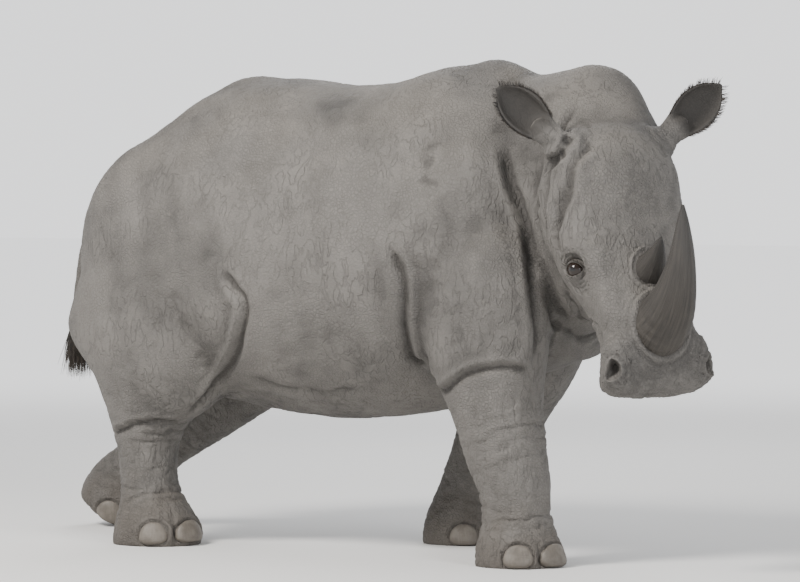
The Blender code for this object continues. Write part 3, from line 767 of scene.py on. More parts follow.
# Rolls of the neck, pressed together on the right where the head turns, stretched on the left.
NECK_ROLLS = (
    ((1.03, -0.33, 1.62), (1.00, -0.43, 1.45), (0.97, -0.46, 1.25), (0.98, -0.42, 1.05)),
    ((0.92, -0.27, 1.67), (0.90, -0.38, 1.48), (0.89, -0.41, 1.25), (0.92, -0.39, 1.02)),
    ((1.10, -0.42, 1.50), (1.06, -0.47, 1.35), (1.05, -0.47, 1.18), (1.06, -0.43, 1.05)),
)
for path in NECK_ROLLS:
    fold(path, 0.015, 0.018, 0.009, None, 0.3, 0.012)
STRETCHED_ROLLS = (
    ((1.08, 0.05, 1.60), (1.03, 0.14, 1.40), (0.98, 0.15, 1.15), (0.95, 0.10, 0.95)),
    ((0.90, 0.22, 1.60), (0.86, 0.27, 1.35), (0.83, 0.26, 1.10), (0.80, 0.20, 0.90)),
)
for path in STRETCHED_ROLLS:
    fold(path, 0.008, 0.022, 0.004)
# Throat and brisket.
for x in (0.86, 0.93, 1.00):
    dip = 0.82 + (x - 0.86) * 0.5
    near_side = (x, -0.34, dip + 0.14), (x - 0.02, -0.22, dip)
    far_side = (x - 0.01, -0.05, dip - 0.02), (x, 0.10, dip + 0.1)
    fold(near_side + far_side, 0.009, 0.016, 0.006, None, 0.25, 0.01)
# The groove each side of the tail, down between the buttocks, and the line of the belly.
BUTTOCK_SEAM = (
    (-1.20, 0.10, 1.44), (-1.27, 0.11, 1.30), (-1.30, 0.10, 1.08), (-1.22, 0.16, 0.84), (-1.08, 0.20, 0.66),
)
BELLY_LINE = ((-0.46, 0.44, 0.64), (-0.25, 0.40, 0.58), (0.0, 0.38, 0.56), (0.20, 0.36, 0.60))
for sign in (-1, 1):
    fold([(x, y * sign, z) for x, y, z in BUTTOCK_SEAM], 0.014, 0.024, 0.006)
    fold([(x, y * sign, z) for x, y, z in BELLY_LINE], 0.007, 0.022, 0.004, None, 0.3, 0.01)
put_points(hide.data, spots)
facing = normals_of(hide.data)

# ---- Creases of the legs and feet ------------------------------------------------------------
# Thinner hide creases in rings round each leg where it bends, deepest at the knee or hock and above
# the foot. It swells in a cuticle round each toenail, and the toes part between the nails.

# Each crease is a share of the leg's length, a depth and a width, with 1 where it is deeper ahead
# and -1 where it is deeper behind.
LEG_STEPS = 160
THIGH_STEPS = 40
FORE_BENDS = (
    (0.62, 0.0045, 0.007, 1), (0.655, 0.006, 0.007, 1), (0.69, 0.006, 0.0065, 1), (0.725, 0.004, 0.006, 1),
    (0.80, 0.004, 0.006, -1), (0.835, 0.007, 0.007, -1), (0.865, 0.0075, 0.007, 1), (0.89, 0.004, 0.006, 1),
)
HIND_BENDS = (
    (0.66, 0.004, 0.007, 1), (0.69, 0.0055, 0.007, 1), (0.72, 0.005, 0.0065, 1), (0.76, 0.004, 0.006, -1),
    (0.80, 0.004, 0.006, 1), (0.835, 0.007, 0.007, -1), (0.865, 0.0075, 0.007, 1), (0.89, 0.004, 0.006, 1),
)


def leg_creases(rows, bends):
    """Rings of creases at shares of the leg's length, deeper ahead or behind."""
    line = smooth_rows([row[:3] for row in rows], LEG_STEPS) + np.array(CENTRING)
    shin = line[60:, :2]
    inside = (spots[:, :2] > shin.min(0) - 0.2) & (spots[:, :2] < shin.max(0) + 0.2)
    chosen = np.flatnonzero((spots[:, 2] < 0.72) & inside.all(axis=1))
    here = spots[chosen]
    away, nearest = nearest_on(line[THIGH_STEPS:], here)
    nearest += THIGH_STEPS
    share = np.linspace(0, 1, LEG_STEPS)[nearest]
    off = here - line[nearest]
    off /= np.linalg.norm(off, axis=1)[:, None] + 1e-9
    turned = off[:, 0]
    length = sum(np.linalg.norm(np.diff(line, axis=0), axis=1))
    wander = 0.010 * mottle(here, 0.10, 11) + 0.005 * mottle(here, 0.045, 12)
    amount = np.zeros(len(chosen))
    for place, depth, width, bias in bends:
        gap = ((share - place) * length + wander + bias * 0.02 * turned) / width
        facing_share = 0.55 + 0.45 * turned * bias
        broken = 0.72 + 0.28 * mottle(here, 0.16, 13 + int(place * 100))
        amount -= depth * np.exp(-(gap**2)) * facing_share * broken
        amount += 0.35 * depth * np.exp(-((np.abs(gap) - 1.9) ** 2)) * facing_share * broken
    on_leg = (away < 0.24) * smoothed((0.70 - here[:, 2]) / 0.10)
    spots[chosen] += facing[chosen] * (amount * on_leg)[:, None]


for name, rows in LEGS.items():
    leg_creases(rows, FORE_BENDS if name.startswith("front") else HIND_BENDS)

TOES = (("inner", -57, 0.046), ("middle", 0, 0.062), ("outer", 57, 0.046))


def nail_axes(rows, turn, half_width):
    """The middle of a nail, and its ways outwards, sideways and up the foot."""
    sole = Vector(rows[-1][:3])
    down = (sole - Vector(rows[-3][:3])).normalized()
    across = (LEFT - down * LEFT.dot(down)).normalized()
    ahead = down.cross(across)
    spread = ahead * math.cos(turn) + across * math.sin(turn)
    sideways = across * math.cos(turn) - ahead * math.sin(turn)
    reach = ahead * math.cos(turn) * rows[-2][4] + across * math.sin(turn) * rows[-2][3]
    lift = 0.075 if sole.z < 0 else 0.060
    lean = (spread * 0.96 - down * 0.28).normalized()
    return sole - down * lift + reach * 0.965 + CENTRING, lean, sideways, lean.cross(sideways)


NAIL_WIDER = 1.10
NAIL_HALF_HEIGHT = 0.041
NAIL_SINKS = 0.003
TOE_CLEFTS = (-29, 29)

feet = np.flatnonzero(spots[:, 2] < 0.36)
for name, rows in LEGS.items():
    fan = 1 if name.endswith("left") else -1
    for toe, turn, half_width in TOES + tuple(("cleft", turn, 0.05) for turn in TOE_CLEFTS):
        middle, lean, sideways, rise = nail_axes(rows, math.radians(turn * fan), half_width)
        gap = spots[feet] - np.array(middle)
        across, up, out = (gap @ np.array(way) for way in (sideways, rise, lean))
        if toe == "cleft":
            near = (np.abs(out) < 0.08) & (np.abs(up) < 0.12)
            amount = -0.0085 * np.exp(-((across / 0.010) ** 2)) * smoothed((0.085 - up) / 0.07)
        else:
            round_nail = across / half_width / NAIL_WIDER
            round_nail = np.sqrt(round_nail**2 + ((up + NAIL_SINKS) / NAIL_HALF_HEIGHT) ** 2)
            near = (np.abs(out) < 0.07) & (round_nail < 2.2)
            amount = 0.0048 * np.exp(-(((round_nail - 1.34) / 0.14) ** 2))
            amount -= 0.0058 * np.exp(-(((round_nail - 1.08) / 0.10) ** 2))
            amount *= smoothed((up / 0.043 + 1.2) / 0.5)
        spots[feet] += facing[feet] * (amount * near)[:, None]

# ---- Creases of the head ---------------------------------------------------------------------
# The skin of the head is thin and tight on the bone. It parts at the mouth, heaps up in collars round
# the horns, sinks at the temples and under the eyes, and creases at the jaw and the ears' roots.

on_head = (spots - np.array(head_point(0.0))) @ np.array([ALONG, BROW, CHEEK]).T
head_area = (on_head[:, 0] > -0.15) & (on_head[:, 1] > -0.36) & (np.abs(on_head[:, 2]) < 0.30)
head_area = np.flatnonzero(head_area)
along, out, left = on_head[head_area].T
push = np.zeros(len(head_area))

lip_line = -0.081 - 0.012 * smoothed((along - 0.58) / 0.10) + 0.020 * smoothed((along - 0.76) / 0.09)
mouth = smoothed((along - 0.575) / 0.035)
gap = out - lip_line
push -= 0.015 * mouth * np.exp(-((gap / 0.0055) ** 2))
push += 0.0045 * mouth * np.exp(-(((gap - 0.016) / 0.010) ** 2))
push += 0.003 * mouth * np.exp(-(((gap + 0.015) / 0.010) ** 2))

COLLAR = ((0.007, 1.08, 0.07), (-0.004, 1.24, 0.045), (-0.0025, 1.42, 0.045), (-0.0018, 1.60, 0.05))
top = smoothed((out - 0.02) / 0.04)
for place, reach_along, reach_across in ((0.662, 0.105, 0.098), (0.465, 0.072, 0.066)):
    ring = np.sqrt(((along - place) / reach_along) ** 2 + (left / reach_across) ** 2)
    ring += 0.02 * mottle(spots[head_area], 0.05, 21)
    for height, at, breadth in COLLAR:
        push += height * top * np.exp(-(((ring - at) / breadth) ** 2))

for sign in (-1, 1):
    side = smoothed(left * sign / 0.05)
    cheekbone = smoothed((along - 0.08) / 0.1) * smoothed((0.42 - along) / 0.1)
    cheekbone *= np.exp(-(((out + 0.030 + 0.10 * (along - 0.25)) / 0.035) ** 2))
    push += 0.008 * side * cheekbone
    temple = ((along - 0.19) / 0.075) ** 2 + ((out - 0.085) / 0.05) ** 2
    push -= 0.012 * side * np.exp(-temple)
    under_eye = ((along - 0.47) / 0.07) ** 2 + ((out + 0.02) / 0.05) ** 2
    push -= 0.006 * side * np.exp(-under_eye)
for size, seed, share in ((0.040, 31, (along + 0.02) / 0.15), (0.030, 32, (along - 0.60) / 0.10)):
    puckers = mottle(spots[head_area], size, seed)
    push -= 0.0016 * smoothed(share) * np.exp(-((puckers / 0.30) ** 2))
spots[head_area] += facing[head_area] * push[:, None]

# Behind the jaw, under and over the eye, at the corner of the mouth and round the nostril. Each has a
# depth and a width, then places along the head, out of it and across.
FACE_FOLDS = (
    (0.012, 0.014, (-0.01, 0.02, 0.235), (0.03, -0.07, 0.240), (0.08, -0.17, 0.215), (0.13, -0.25, 0.15)),
    (0.005, 0.007, (0.50, -0.06, 0.18), (0.44, -0.085, 0.19), (0.38, -0.095, 0.20), (0.31, -0.08, 0.205)),
    (0.003, 0.007, (0.48, -0.09, 0.18), (0.42, -0.115, 0.19), (0.35, -0.12, 0.20)),
    (0.004, 0.007, (0.33, 0.05, 0.20), (0.37, 0.055, 0.20), (0.42, 0.045, 0.19), (0.46, 0.02, 0.18)),
    (0.007, 0.007, (0.57, -0.075, 0.16), (0.55, -0.10, 0.155), (0.555, -0.14, 0.14)),
    (0.005, 0.006, (0.60, -0.045, 0.15), (0.575, -0.065, 0.16), (0.56, -0.10, 0.155)),
    (0.006, 0.008, (0.66, 0.055, 0.14), (0.69, 0.03, 0.155), (0.70, -0.01, 0.165), (0.685, -0.045, 0.165)),
    (0.004, 0.008, (0.60, 0.04, 0.14), (0.62, 0.01, 0.15), (0.62, -0.03, 0.155)),
)
for sign in (-1, 1):
    for depth, width, *path in FACE_FOLDS:
        path = [head_point(along, out, left * sign) - CENTRING for along, out, left in path]
        fold(path, depth, width, depth * 0.45, None, 0.3, 0.004)

# Creases part the skin rolls round the roots of the ears.
for sign in (-1, 1):
    chosen = np.flatnonzero(np.linalg.norm(spots - np.array(ear_axes(sign)[0]), axis=1) < 0.17)
    reach, away = from_ear(spots[chosen], sign)
    near = smoothed((0.13 - away) / 0.05) * smoothed((0.10 - reach) / 0.03)
    near *= smoothed((reach + 0.03) / 0.03)
    rolls = np.abs(np.sin((reach + 0.006 * mottle(spots[chosen], 0.07, 41)) * math.pi / 0.024))
    spots[chosen] -= facing[chosen] * (0.0030 * near * (1 - rolls) ** 2)[:, None]

# Slow unevenness over the whole hide, and a coarse net of wrinkles.
spots += facing * (0.0028 * mottle(spots, 0.34, 51) + 0.0014 * mottle(spots, 0.15, 52))[:, None]
legs_share = smoothed((0.66 - spots[:, 2]) / 0.15)
net = np.exp(-((mottle(spots, 0.075, 53) / 0.22) ** 2))
net += np.exp(-((mottle(spots, 0.06, 54) / 0.2) ** 2))
spots -= facing * ((0.0010 + 0.0012 * legs_share) * net)[:, None]
spots[:, 2] = np.maximum(spots[:, 2], 0.0)
put_points(hide.data, spots)

# The sculpted hide is thinned where it is smooth.
HIDE_FACES = 176000
fewer = hide.modifiers.new("fewer", "DECIMATE")
fewer.ratio = HIDE_FACES / (2 * len(hide.data.polygons))
settle(hide)


# ---- Eyelids and nostrils --------------------------------------------------------------------
# The small round eye sits in thick wrinkled lids, and the nostrils are deep commas on the corners
# of the muzzle. Each is a round inlay of fine skin, laid on the hide and joined to its cut edge.

LID_REACH = (2.15, 1.95)
NOSTRIL_REACH = (0.066, 0.058)
on_skin = BVHTree.FromObject(hide, bpy.context.evaluated_depsgraph_get())


def skin_height(middle, out, place):
    """How far the hide stands out of the plane through the middle, seen along out."""
    hit = on_skin.ray_cast(place + out * 0.12, -out, 0.25)[0]
    if hit is None:
        hit = on_skin.find_nearest(place)[0]
    return (hit - middle).dot(out)


def ripple(share, place, breadth):
    return math.exp(-(((share - place) / breadth) ** 2))


def lid_loops(middle, radius, out, ahead, up, spokes=80, rings=24):
    """From the cheek in to the wet rim of the lids, round an almond opening, and in behind it."""
    opening = radius * 0.92
    loops = []
    turns = [math.tau * k / spokes for k in range(spokes)]
    for ring in range(rings + 1):
        share = (1 - ring / rings) ** 1.25
        loop = []
        for turn in turns:
            upper = math.sin(turn) > 0
            tall = opening * (0.76 if upper else 0.66)
            lid = abs(math.sin(turn)) ** 1.15 * (1 if upper else -1)
            slit = Vector((opening * math.cos(turn) * 1.06, tall * lid))
            wide = Vector((LID_REACH[0] * radius * math.cos(turn), LID_REACH[1] * radius * math.sin(turn)))
            spot = slit.lerp(wide, share)
            place = middle + ahead * spot.x + up * spot.y
            skin = skin_height(middle, out, place)
            thickness = radius + 0.0042
            round_lid = math.sqrt(max(thickness**2 - spot.length_squared, (0.35 * radius) ** 2))
            hold = smoothed((share - 0.22) / 0.62)
            height = round_lid * (1 - hold) + skin * hold
            high = max(math.sin(turn), 0) ** 0.5
            low = max(-math.sin(turn), 0) ** 0.5
            corner = abs(math.cos(turn)) ** 6
            height += 0.0022 * ripple(share, 0.10, 0.07) * (1 - 0.5 * corner)
            height -= 0.0036 * ripple(share, 0.27, 0.045) * high
            height -= 0.0028 * ripple(share, 0.24, 0.05) * low
            height += 0.0030 * ripple(share, 0.40, 0.08) * (0.4 + 0.6 * high)
            height -= 0.0030 * ripple(share, 0.56, 0.05) * (high + 0.7 * low)
            height += 0.0016 * ripple(share, 0.68, 0.06)
            height -= 0.0018 * ripple(share, 0.80, 0.05) * (high + low)
            height += 0.0009 * math.sin(17 * turn + 5 * share) * ripple(share, 0.5, 0.25)
            loop.append(place + out * height)
        loops.append(loop)
    for inset, sink in ((0.985, -0.0012), (0.95, -0.0030), (0.86, -0.0060)):
        loop = []
        for place in loops[rings]:
            flat = place - middle
            flat -= out * flat.dot(out)
            flat *= inset
            over = math.sqrt(max((radius + 0.0036 + sink) ** 2 - flat.length_squared, 0))
            loop.append(middle + flat + out * over)
        loops.append(loop)
    return loops


def share_blend(share):
    return smoothed((share - 0.30) / 0.70) * 0.35 + max(share - 0.30, 0) / 0.70 * 0.65


def nostril_loops(middle, out, long_way, wide_way, spokes=72, rings=22):
    """From the muzzle up over a swollen rim and down into a deep, curved hole."""
    loops = []
    for ring in range(rings + 1):
        share = 1 - ring / rings
        loop = []
        for k in range(spokes):
            turn = math.tau * k / spokes
            x, y = math.cos(turn), math.sin(turn)
            wide = Vector((NOSTRIL_REACH[0] * x, NOSTRIL_REACH[1] * y))
            hole = Vector((0.036 * x, 0.0235 * y + 0.010 * x * x - 0.004))
            spot = hole.lerp(wide, share_blend(share))
            if share < 0.30:
                spot = hole * (0.35 + 0.65 * smoothed(share / 0.30))
                spot += Vector((0, 0.006)) * (0.3 - share) / 0.3
            place = middle + long_way * spot.x + wide_way * spot.y
            skin = skin_height(middle, out, place)
            rim = 0.0075 * ripple(share, 0.42, 0.10) * (0.75 + 0.25 * y)
            rim -= 0.0035 * ripple(share, 0.66, 0.07) * (0.6 + 0.4 * x)
            rim += 0.0012 * math.sin(13 * turn) * ripple(share, 0.6, 0.2)
            depth = 0.046 * (1 - smoothed(share / 0.33)) + 0.006 * ripple(share, 0.30, 0.05)
            loop.append(place + out * (skin + rim - depth))
        loops.append(loop)
    return loops


inlays = []
for sign, name in ((-1, "eye_right"), (1, "eye_left")):
    middle, radius = packed_ball(name)
    out = (CHEEK * sign * 0.86 + BROW * 0.42 + ALONG * 0.12).normalized()
    ahead = (UP.cross(out) * -sign).normalized()
    ahead = (ahead + UP * 0.06).normalized()
    up = out.cross(ahead) if out.cross(ahead).z > 0 else ahead.cross(out)
    loops = lid_loops(middle, radius, out, ahead, up)
    inlays.append((middle, out, ahead, up, [radius * size for size in LID_REACH], loops))
for sign in (-1, 1):
    out = (CHEEK * sign * 0.66 + ALONG * 0.40 + BROW * 0.60).normalized()
    middle = head_point(0.778, 0.018, 0.168 * sign)
    middle += out * skin_height(middle, out, middle)
    long_way = BROW * 0.75 - ALONG * 0.66
    long_way = (long_way - out * long_way.dot(out)).normalized()
    wide_way = out.cross(long_way) * -sign
    loops = nostril_loops(middle, out, long_way, wide_way)
    inlays.append((middle, out, long_way, wide_way, NOSTRIL_REACH, loops))

bm = bmesh.new()
bm.from_mesh(hide.data)
bm.faces.ensure_lookup_table()
centres = np.empty(len(hide.data.polygons) * 3, np.float32)
hide.data.polygons.foreach_get("center", centres)
centres = centres.reshape(-1, 3)
cuts = []
for middle, out, across, rise, reach, loops in inlays:
    gap = centres - np.array(middle)
    flat = (gap @ np.array(across) / reach[0]) ** 2 + (gap @ np.array(rise) / reach[1]) ** 2
    inside = (flat < 1.04) & (np.abs(gap @ np.array(out)) < 0.07)
    cuts.append([bm.faces[k] for k in np.flatnonzero(inside)])
rims = []
for cut in cuts:
    taken = set(cut)
    edges = {edge for face in cut for edge in face.edges}
    rims.append({edge for edge in edges if sum(face in taken for face in edge.link_faces) == 1})
for cut in cuts:
    bmesh.ops.delete(bm, geom=cut, context="FACES_KEEP_BOUNDARY")
for rim, (_, out, _, _, _, loops) in zip(rims, inlays):
    rings = [[bm.verts.new(place) for place in loop] for loop in loops]
    made = []
    for outer, inner in zip(rings, rings[1:]):
        for k in range(len(outer)):
            after = (k + 1) % len(outer)
            made.append(bm.faces.new((outer[k], outer[after], inner[after], inner[k])))
    made.append(bm.faces.new(rings[-1]))
    border = [bm.edges.get(pair) for pair in zip(rings[0], rings[0][1:] + rings[0][:1])]
    joined = bmesh.ops.bridge_loops(bm, edges=[edge for edge in rim if edge.is_valid] + border)
    made += joined["faces"]
    bmesh.ops.recalc_face_normals(bm, faces=made)
    if made[0].normal.dot(out) < 0:
        bmesh.ops.reverse_faces(bm, faces=made)
bmesh.ops.triangulate(bm, faces=bm.faces)
bm.to_mesh(hide.data)
bm.free()

spots = points_of(hide.data)
spots[:, 2] = np.maximum(spots[:, 2], 0.0)
put_points(hide.data, spots)
facing = normals_of(hide.data)

# ---- The hide's colour -----------------------------------------------------------------------
# Grey skin, paler where it is rubbed, darkened in its hollows and cracks by painted shade with some dirt,
# dry earth on what faces up and mud on the feet. How hollow a point is shows in how far its smoothed
# neighbourhood stands out of it.

links = np.empty(len(hide.data.edges) * 2, np.int32)
hide.data.edges.foreach_get("vertices", links)
links = links.reshape(-1, 2)
count = np.bincount(links.ravel(), minlength=len(spots))[:, None].clip(1)


def spread_out(values, rounds):
    for _ in range(rounds):
        total = np.zeros_like(values)
        for axis in range(values.shape[1]):
            total[:, axis] += np.bincount(links[:, 0], values[links[:, 1], axis], len(values))
            total[:, axis] += np.bincount(links[:, 1], values[links[:, 0], axis], len(values))
        values = 0.3 * values + 0.7 * total / count
    return values


tight = ((spread_out(spots, 3) - spots) * facing).sum(axis=1)
broad = ((spread_out(spots, 14) - spots) * facing).sum(axis=1)
hollow = np.clip(tight / 0.0010, -1, 1) * 0.5 + np.clip(broad / 0.0060, -1, 1) * 0.42
hollow = spread_out(hollow[:, None], 1)[:, 0]

# Slower changes of colour: patches, dust on what faces up, mud on the feet and painted shade in the ear
# cups.
patches = 0.60 * mottle(spots, 0.62, 61) + 0.45 * mottle(spots, 0.21, 62)
patches += 0.30 * mottle(spots, 0.07, 63)
dust = smoothed((facing[:, 2] - 0.10) / 0.8) * smoothed(0.55 + 0.5 * mottle(spots, 0.30, 64))
mud = smoothed((0.30 + 0.05 * mottle(spots, 0.12, 65) - spots[:, 2]) / 0.26)
# The inner faces of the ear cups, which get painted shade.
cups = np.zeros(len(spots))
for sign in (-1, 1):
    root, axis, face, side = ear_axes(sign)
    gap = spots - np.array(root)
    reach = gap @ np.array(axis)
    near = (np.linalg.norm(gap, axis=1) < 0.36) & (reach > 0.09)
    cups += near * smoothed((facing @ np.array(face)) / 0.5) * smoothed((reach - 0.09) / 0.05)
keep_on_points(hide.data, hollow=hollow, patches=patches, dust=dust, mud=mud, cups=cups)

GREY_DARK = (0.054, 0.050, 0.046, 1)
GREY_PALE = (0.148, 0.138, 0.126, 1)
DUST = (0.225, 0.203, 0.173, 1)
# A near-black grey of painted shade with some dirt, for the hollows, cracks, wrinkles and ear cups.
PAINTED_SHADE_AND_DIRT = (0.024, 0.021, 0.018, 1)
MUD = (0.078, 0.064, 0.051, 1)


def hide_material():
    coat = Coat("rhinoceros_hide", 0.78)
    places = coat.places()
    wander = coat.warped(places, 16.0, 0.020)
    grain = coat.noise(places, 170.0, 3.0)
    share = coat.noise(places, 5.0, 2.0)
    plates = coat.cracks(wander, 82.0)
    wrinkles = coat.noise(coat.stretched(wander, (1.0, 1.0, 0.38)), 34.0, 2.0)
    plate_crack = (1 - plates.within(0.0, 0.19)) * (0.35 + share.within(0.30, 0.66) * 0.65)
    wrinkle = 1 - abs(wrinkles - 0.5).within(0.0, 0.055)
    wrinkle = wrinkle * (1 - share.within(0.36, 0.62) * 0.85)
    notes = ("hollow", "patches", "dust", "mud", "cups")
    hollow, patches, dust, mud, cups = (coat.kept(name) for name in notes)
    sunk = hollow.within(0.04, 0.85)
    raised = (hollow * -1.0).within(0.05, 0.6)
    colour = coat.mix(patches.within(-1.2, 1.2), GREY_DARK, GREY_PALE)
    colour = coat.mix(raised * 0.35, colour, GREY_PALE)
    colour = coat.mix(dust * 0.40, colour, DUST)
    colour = coat.mix(mud * 0.55, colour, MUD)
    # The cracks and wrinkles darken with painted shade and some dirt.
    colour = coat.mix(wrinkle * 0.22 + plate_crack * 0.24, colour, PAINTED_SHADE_AND_DIRT)
    # Painted shade, with some dirt, darkens the hollows and creases of the hide nearly to black.
    colour = coat.mix(sunk * 0.72, colour, PAINTED_SHADE_AND_DIRT)
    # Painted shade, with some of the darker tone of their hair, fills the ear cups.
    colour = coat.mix(cups * 0.90, colour, PAINTED_SHADE_AND_DIRT)
    colour = coat.mix(grain.within(0.38, 0.72) * (0.20 - cups * 0.17), colour, GREY_PALE)
    relief = grain * 0.24 - plate_crack * 0.46 - wrinkle * 0.60
    relief = relief * (1 - cups * 0.75)
    rough = 0.68 + grain * 0.20
    return coat.finish(colour, relief, 0.0042, rough)


hide.data.materials.clear()
hide.data.materials.append(hide_material())
hide.data.shade_smooth()
flesh = [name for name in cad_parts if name.startswith(("leg_", "foot_", "ear_"))]
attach(hide, "root")
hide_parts("trunk", "neck", "head", "lower_jaw", "tail", *flesh)

# ---- Eyes ------------------------------------------------------------------------------------
# Small, dark and wet: an almost black brown iris with a wide oval pupil under a clear bulge of
# cornea, held by the lids.


def eye_piece(node, sign):
    middle, radius = packed_ball(node)
    out = (CHEEK * sign * 0.80 + BROW * 0.48 + ALONG * 0.14).normalized()
    bm = bmesh.new()
    bmesh.ops.create_uvsphere(bm, u_segments=48, v_segments=32, radius=radius)
    bm.transform(out.to_track_quat("Z", "Y").to_matrix().to_4x4())
    for vertex in bm.verts:
        bulge = max(vertex.co.normalized().dot(out) - 0.80, 0) / 0.20
        vertex.co *= 1 + 0.05 * bulge
        vertex.co += middle
    made = made_object(node + "_ball", bm)
    gap = points_of(made.data) - np.array(middle)
    gap /= np.linalg.norm(gap, axis=1)[:, None]
    level = np.array(UP.cross(out).normalized())
    rise = np.array(out.cross(Vector(level)))
    oval = np.sqrt((gap @ level) ** 2 + (1.7 * (gap @ rise)) ** 2)
    keep_on_points(made.data, from_pupil=oval, from_middle=1 - gap @ np.array(out))
    made.data.shade_smooth()
    return made


def eye_material():
    coat = Coat("wet_eye", 0.10, Specular_IOR_Level=0.35, Coat_Weight=0.35, Coat_Roughness=0.02)
    pupil = coat.kept("from_pupil")
    middle = coat.kept("from_middle")
    fleck = coat.noise(coat.places(), 380.0, 3.0)
    iris = coat.mix(fleck, (0.007, 0.004, 0.003, 1), (0.020, 0.011, 0.006, 1))
    white = coat.mix(fleck, (0.008, 0.006, 0.005, 1), (0.018, 0.013, 0.010, 1))
    colour = coat.mix(middle.within(0.26, 0.34), iris, white)
    colour = coat.mix(1 - pupil.within(0.30, 0.36), colour, (0.003, 0.002, 0.002, 1))
    return coat.finish(colour)


wet_eye = eye_material()
for node, sign in (("eye_right", -1), ("eye_left", 1)):
    ball = eye_piece(node, sign)
    ball.data.materials.append(wet_eye)
    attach(ball, "root")
    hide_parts(node)

# ---- Horns -----------------------------------------------------------------------------------
# Two horns of packed hair-like fibres on the bosses of the nose. The base is ragged and fibrous,
# with growth rings, and wear polishes the upper part to a blunt tip.

HORN_TAPER = (
    (0.0, 1.0), (0.12, 1.0), (0.26, 0.90), (0.42, 0.72),
    (0.60, 0.53), (0.80, 0.32), (0.94, 0.16), (1.0, 0.05),
)
FRONT_HORN = ((0.662, 0.050), (0.655, 0.115), (0.637, 0.20), (0.59, 0.29), (0.495, 0.38), (0.38, 0.45))
REAR_HORN = ((0.470, 0.060), (0.463, 0.115), (0.450, 0.165), (0.430, 0.21), (0.405, 0.25))
HORN_BASE = 0.098


def horn_piece(name, path, base_along, base_across, seed):
    places = smooth_rows([tuple(head_point(*row) - CENTRING) for row in path], 60)
    rows = []
    for share, size in HORN_TAPER:
        row = places[round(share * 59)]
        rows.append((*row, base_across * size, base_along * size, base_along * size, 2.1))
    rings = points = 150
    loops = np.array(sweep_loops(rows, rings, CHEEK, points))
    middles = loops.mean(axis=1, keepdims=True)
    ways = loops - middles
    size = np.linalg.norm(ways, axis=2, keepdims=True)
    ways /= size + 1e-9
    turn = np.linspace(0, math.tau, points, endpoint=False)[None, :]
    up = np.linspace(0, 1, rings)[:, None]
    chance = np.random.default_rng(seed)
    fibres = np.zeros((rings, points))
    for waves, depth in ((9, 0.0011), (17, 0.0010), (31, 0.0008), (47, 0.0006), (66, 0.0005)):
        drift = 0.9 * np.sin(up * chance.uniform(3, 8) + chance.uniform(0, 6)) + chance.uniform(0, 6)
        beat = 0.6 + 0.4 * np.sin(up * chance.uniform(6, 14) + turn * 2 + chance.uniform(0, 6))
        fibres -= depth * np.abs(np.sin(waves / 2 * turn + drift)) ** 0.7 * beat
    growth = np.sin(up * 95 + 1.2 * np.sin(turn * 2 + 1) + 2.2 * np.sin(up * 9))
    low = np.clip(1 - up / 0.5, 0, 1)
    frayed = np.clip(1 - (up - 0.10) / 0.14, 0, 1) ** 2
    tatter = np.abs(np.sin(turn * 23 + np.sin(turn * 5) * 2)) * 0.6 + 0.4 * np.abs(np.sin(turn * 41 + 1))
    shape = fibres * (0.35 + 0.9 * low) + 0.0010 * growth * low + 0.0048 * tatter * frayed
    shape += 0.0030 * np.sin(turn * 3 + up * 5) * np.sin(up * 7 + 2) * (1 - up)
    loops = middles + ways * (size + shape[:, :, None] * np.clip(size / 0.03, 0.15, 1))
    bm = bmesh.new()
    add_loft(bm, loops.tolist())
    bmesh.ops.recalc_face_normals(bm, faces=bm.faces)
    made = made_object(name, bm)
    around = np.tile(turn[0], rings)
    heights = np.repeat(up[:, 0], points)
    keep_on_points(made.data, up_horn=heights, round_cos=np.cos(around), round_sin=np.sin(around))
    made.data.shade_smooth()
    return made


def horn_material():
    coat = Coat("horn_fibre", 0.5)
    up, across, along = (coat.kept(name) for name in ("up_horn", "round_cos", "round_sin"))
    strand = coat.node("ShaderNodeCombineXYZ", {}, {0: across, 1: along, 2: up * 0.22})
    fine = coat.noise(strand, 36.0, 5.0)
    broad = coat.noise(strand, 7.0, 4.0)
    rings = coat.noise(coat.node("ShaderNodeCombineXYZ", {}, {2: up * 30.0, 0: across * 0.4}), 1.0, 3.0)
    colour = coat.mix(broad.within(0.3, 0.7), (0.013, 0.011, 0.009, 1), (0.036, 0.031, 0.026, 1))
    colour = coat.mix(fine.within(0.40, 0.72) * 0.5, colour, (0.066, 0.057, 0.047, 1))
    colour = coat.mix((1 - up.within(0.05, 0.24)) * 0.45, colour, (0.066, 0.058, 0.049, 1))
    colour = coat.mix(up.within(0.55, 1.0) * 0.5, colour, (0.020, 0.018, 0.016, 1))
    colour = coat.mix((1 - fine.within(0.25, 0.45)) * 0.6, colour, (0.009, 0.008, 0.007, 1))
    relief = fine + broad * 0.5 + rings * (1 - up.within(0.2, 0.7)) * 0.5
    rough = 0.70 - up.within(0.2, 0.9) * 0.26 + fine * 0.10
    return coat.finish(colour, relief, 0.0022, rough)


horn_fibre = horn_material()
horns = (
    ("horn_front", FRONT_HORN, HORN_BASE, HORN_BASE * 0.98, 7),
    ("horn_rear", REAR_HORN, HORN_BASE * 0.74, HORN_BASE * 0.70, 8),
)
for node, path, base_along, base_across, seed in horns:
    horn = horn_piece(node + "_fibres", path, base_along, base_across, seed)
    horn.data.materials.append(horn_fibre)
    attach(horn, "root")
    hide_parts(node)

# ---- Toenails --------------------------------------------------------------------------------
# Three broad blunt nails on each foot, worn level with the sole, pale horn with fine growth lines
# and a dirty lower edge.

NAIL_OFF_FLOOR = 0.0035


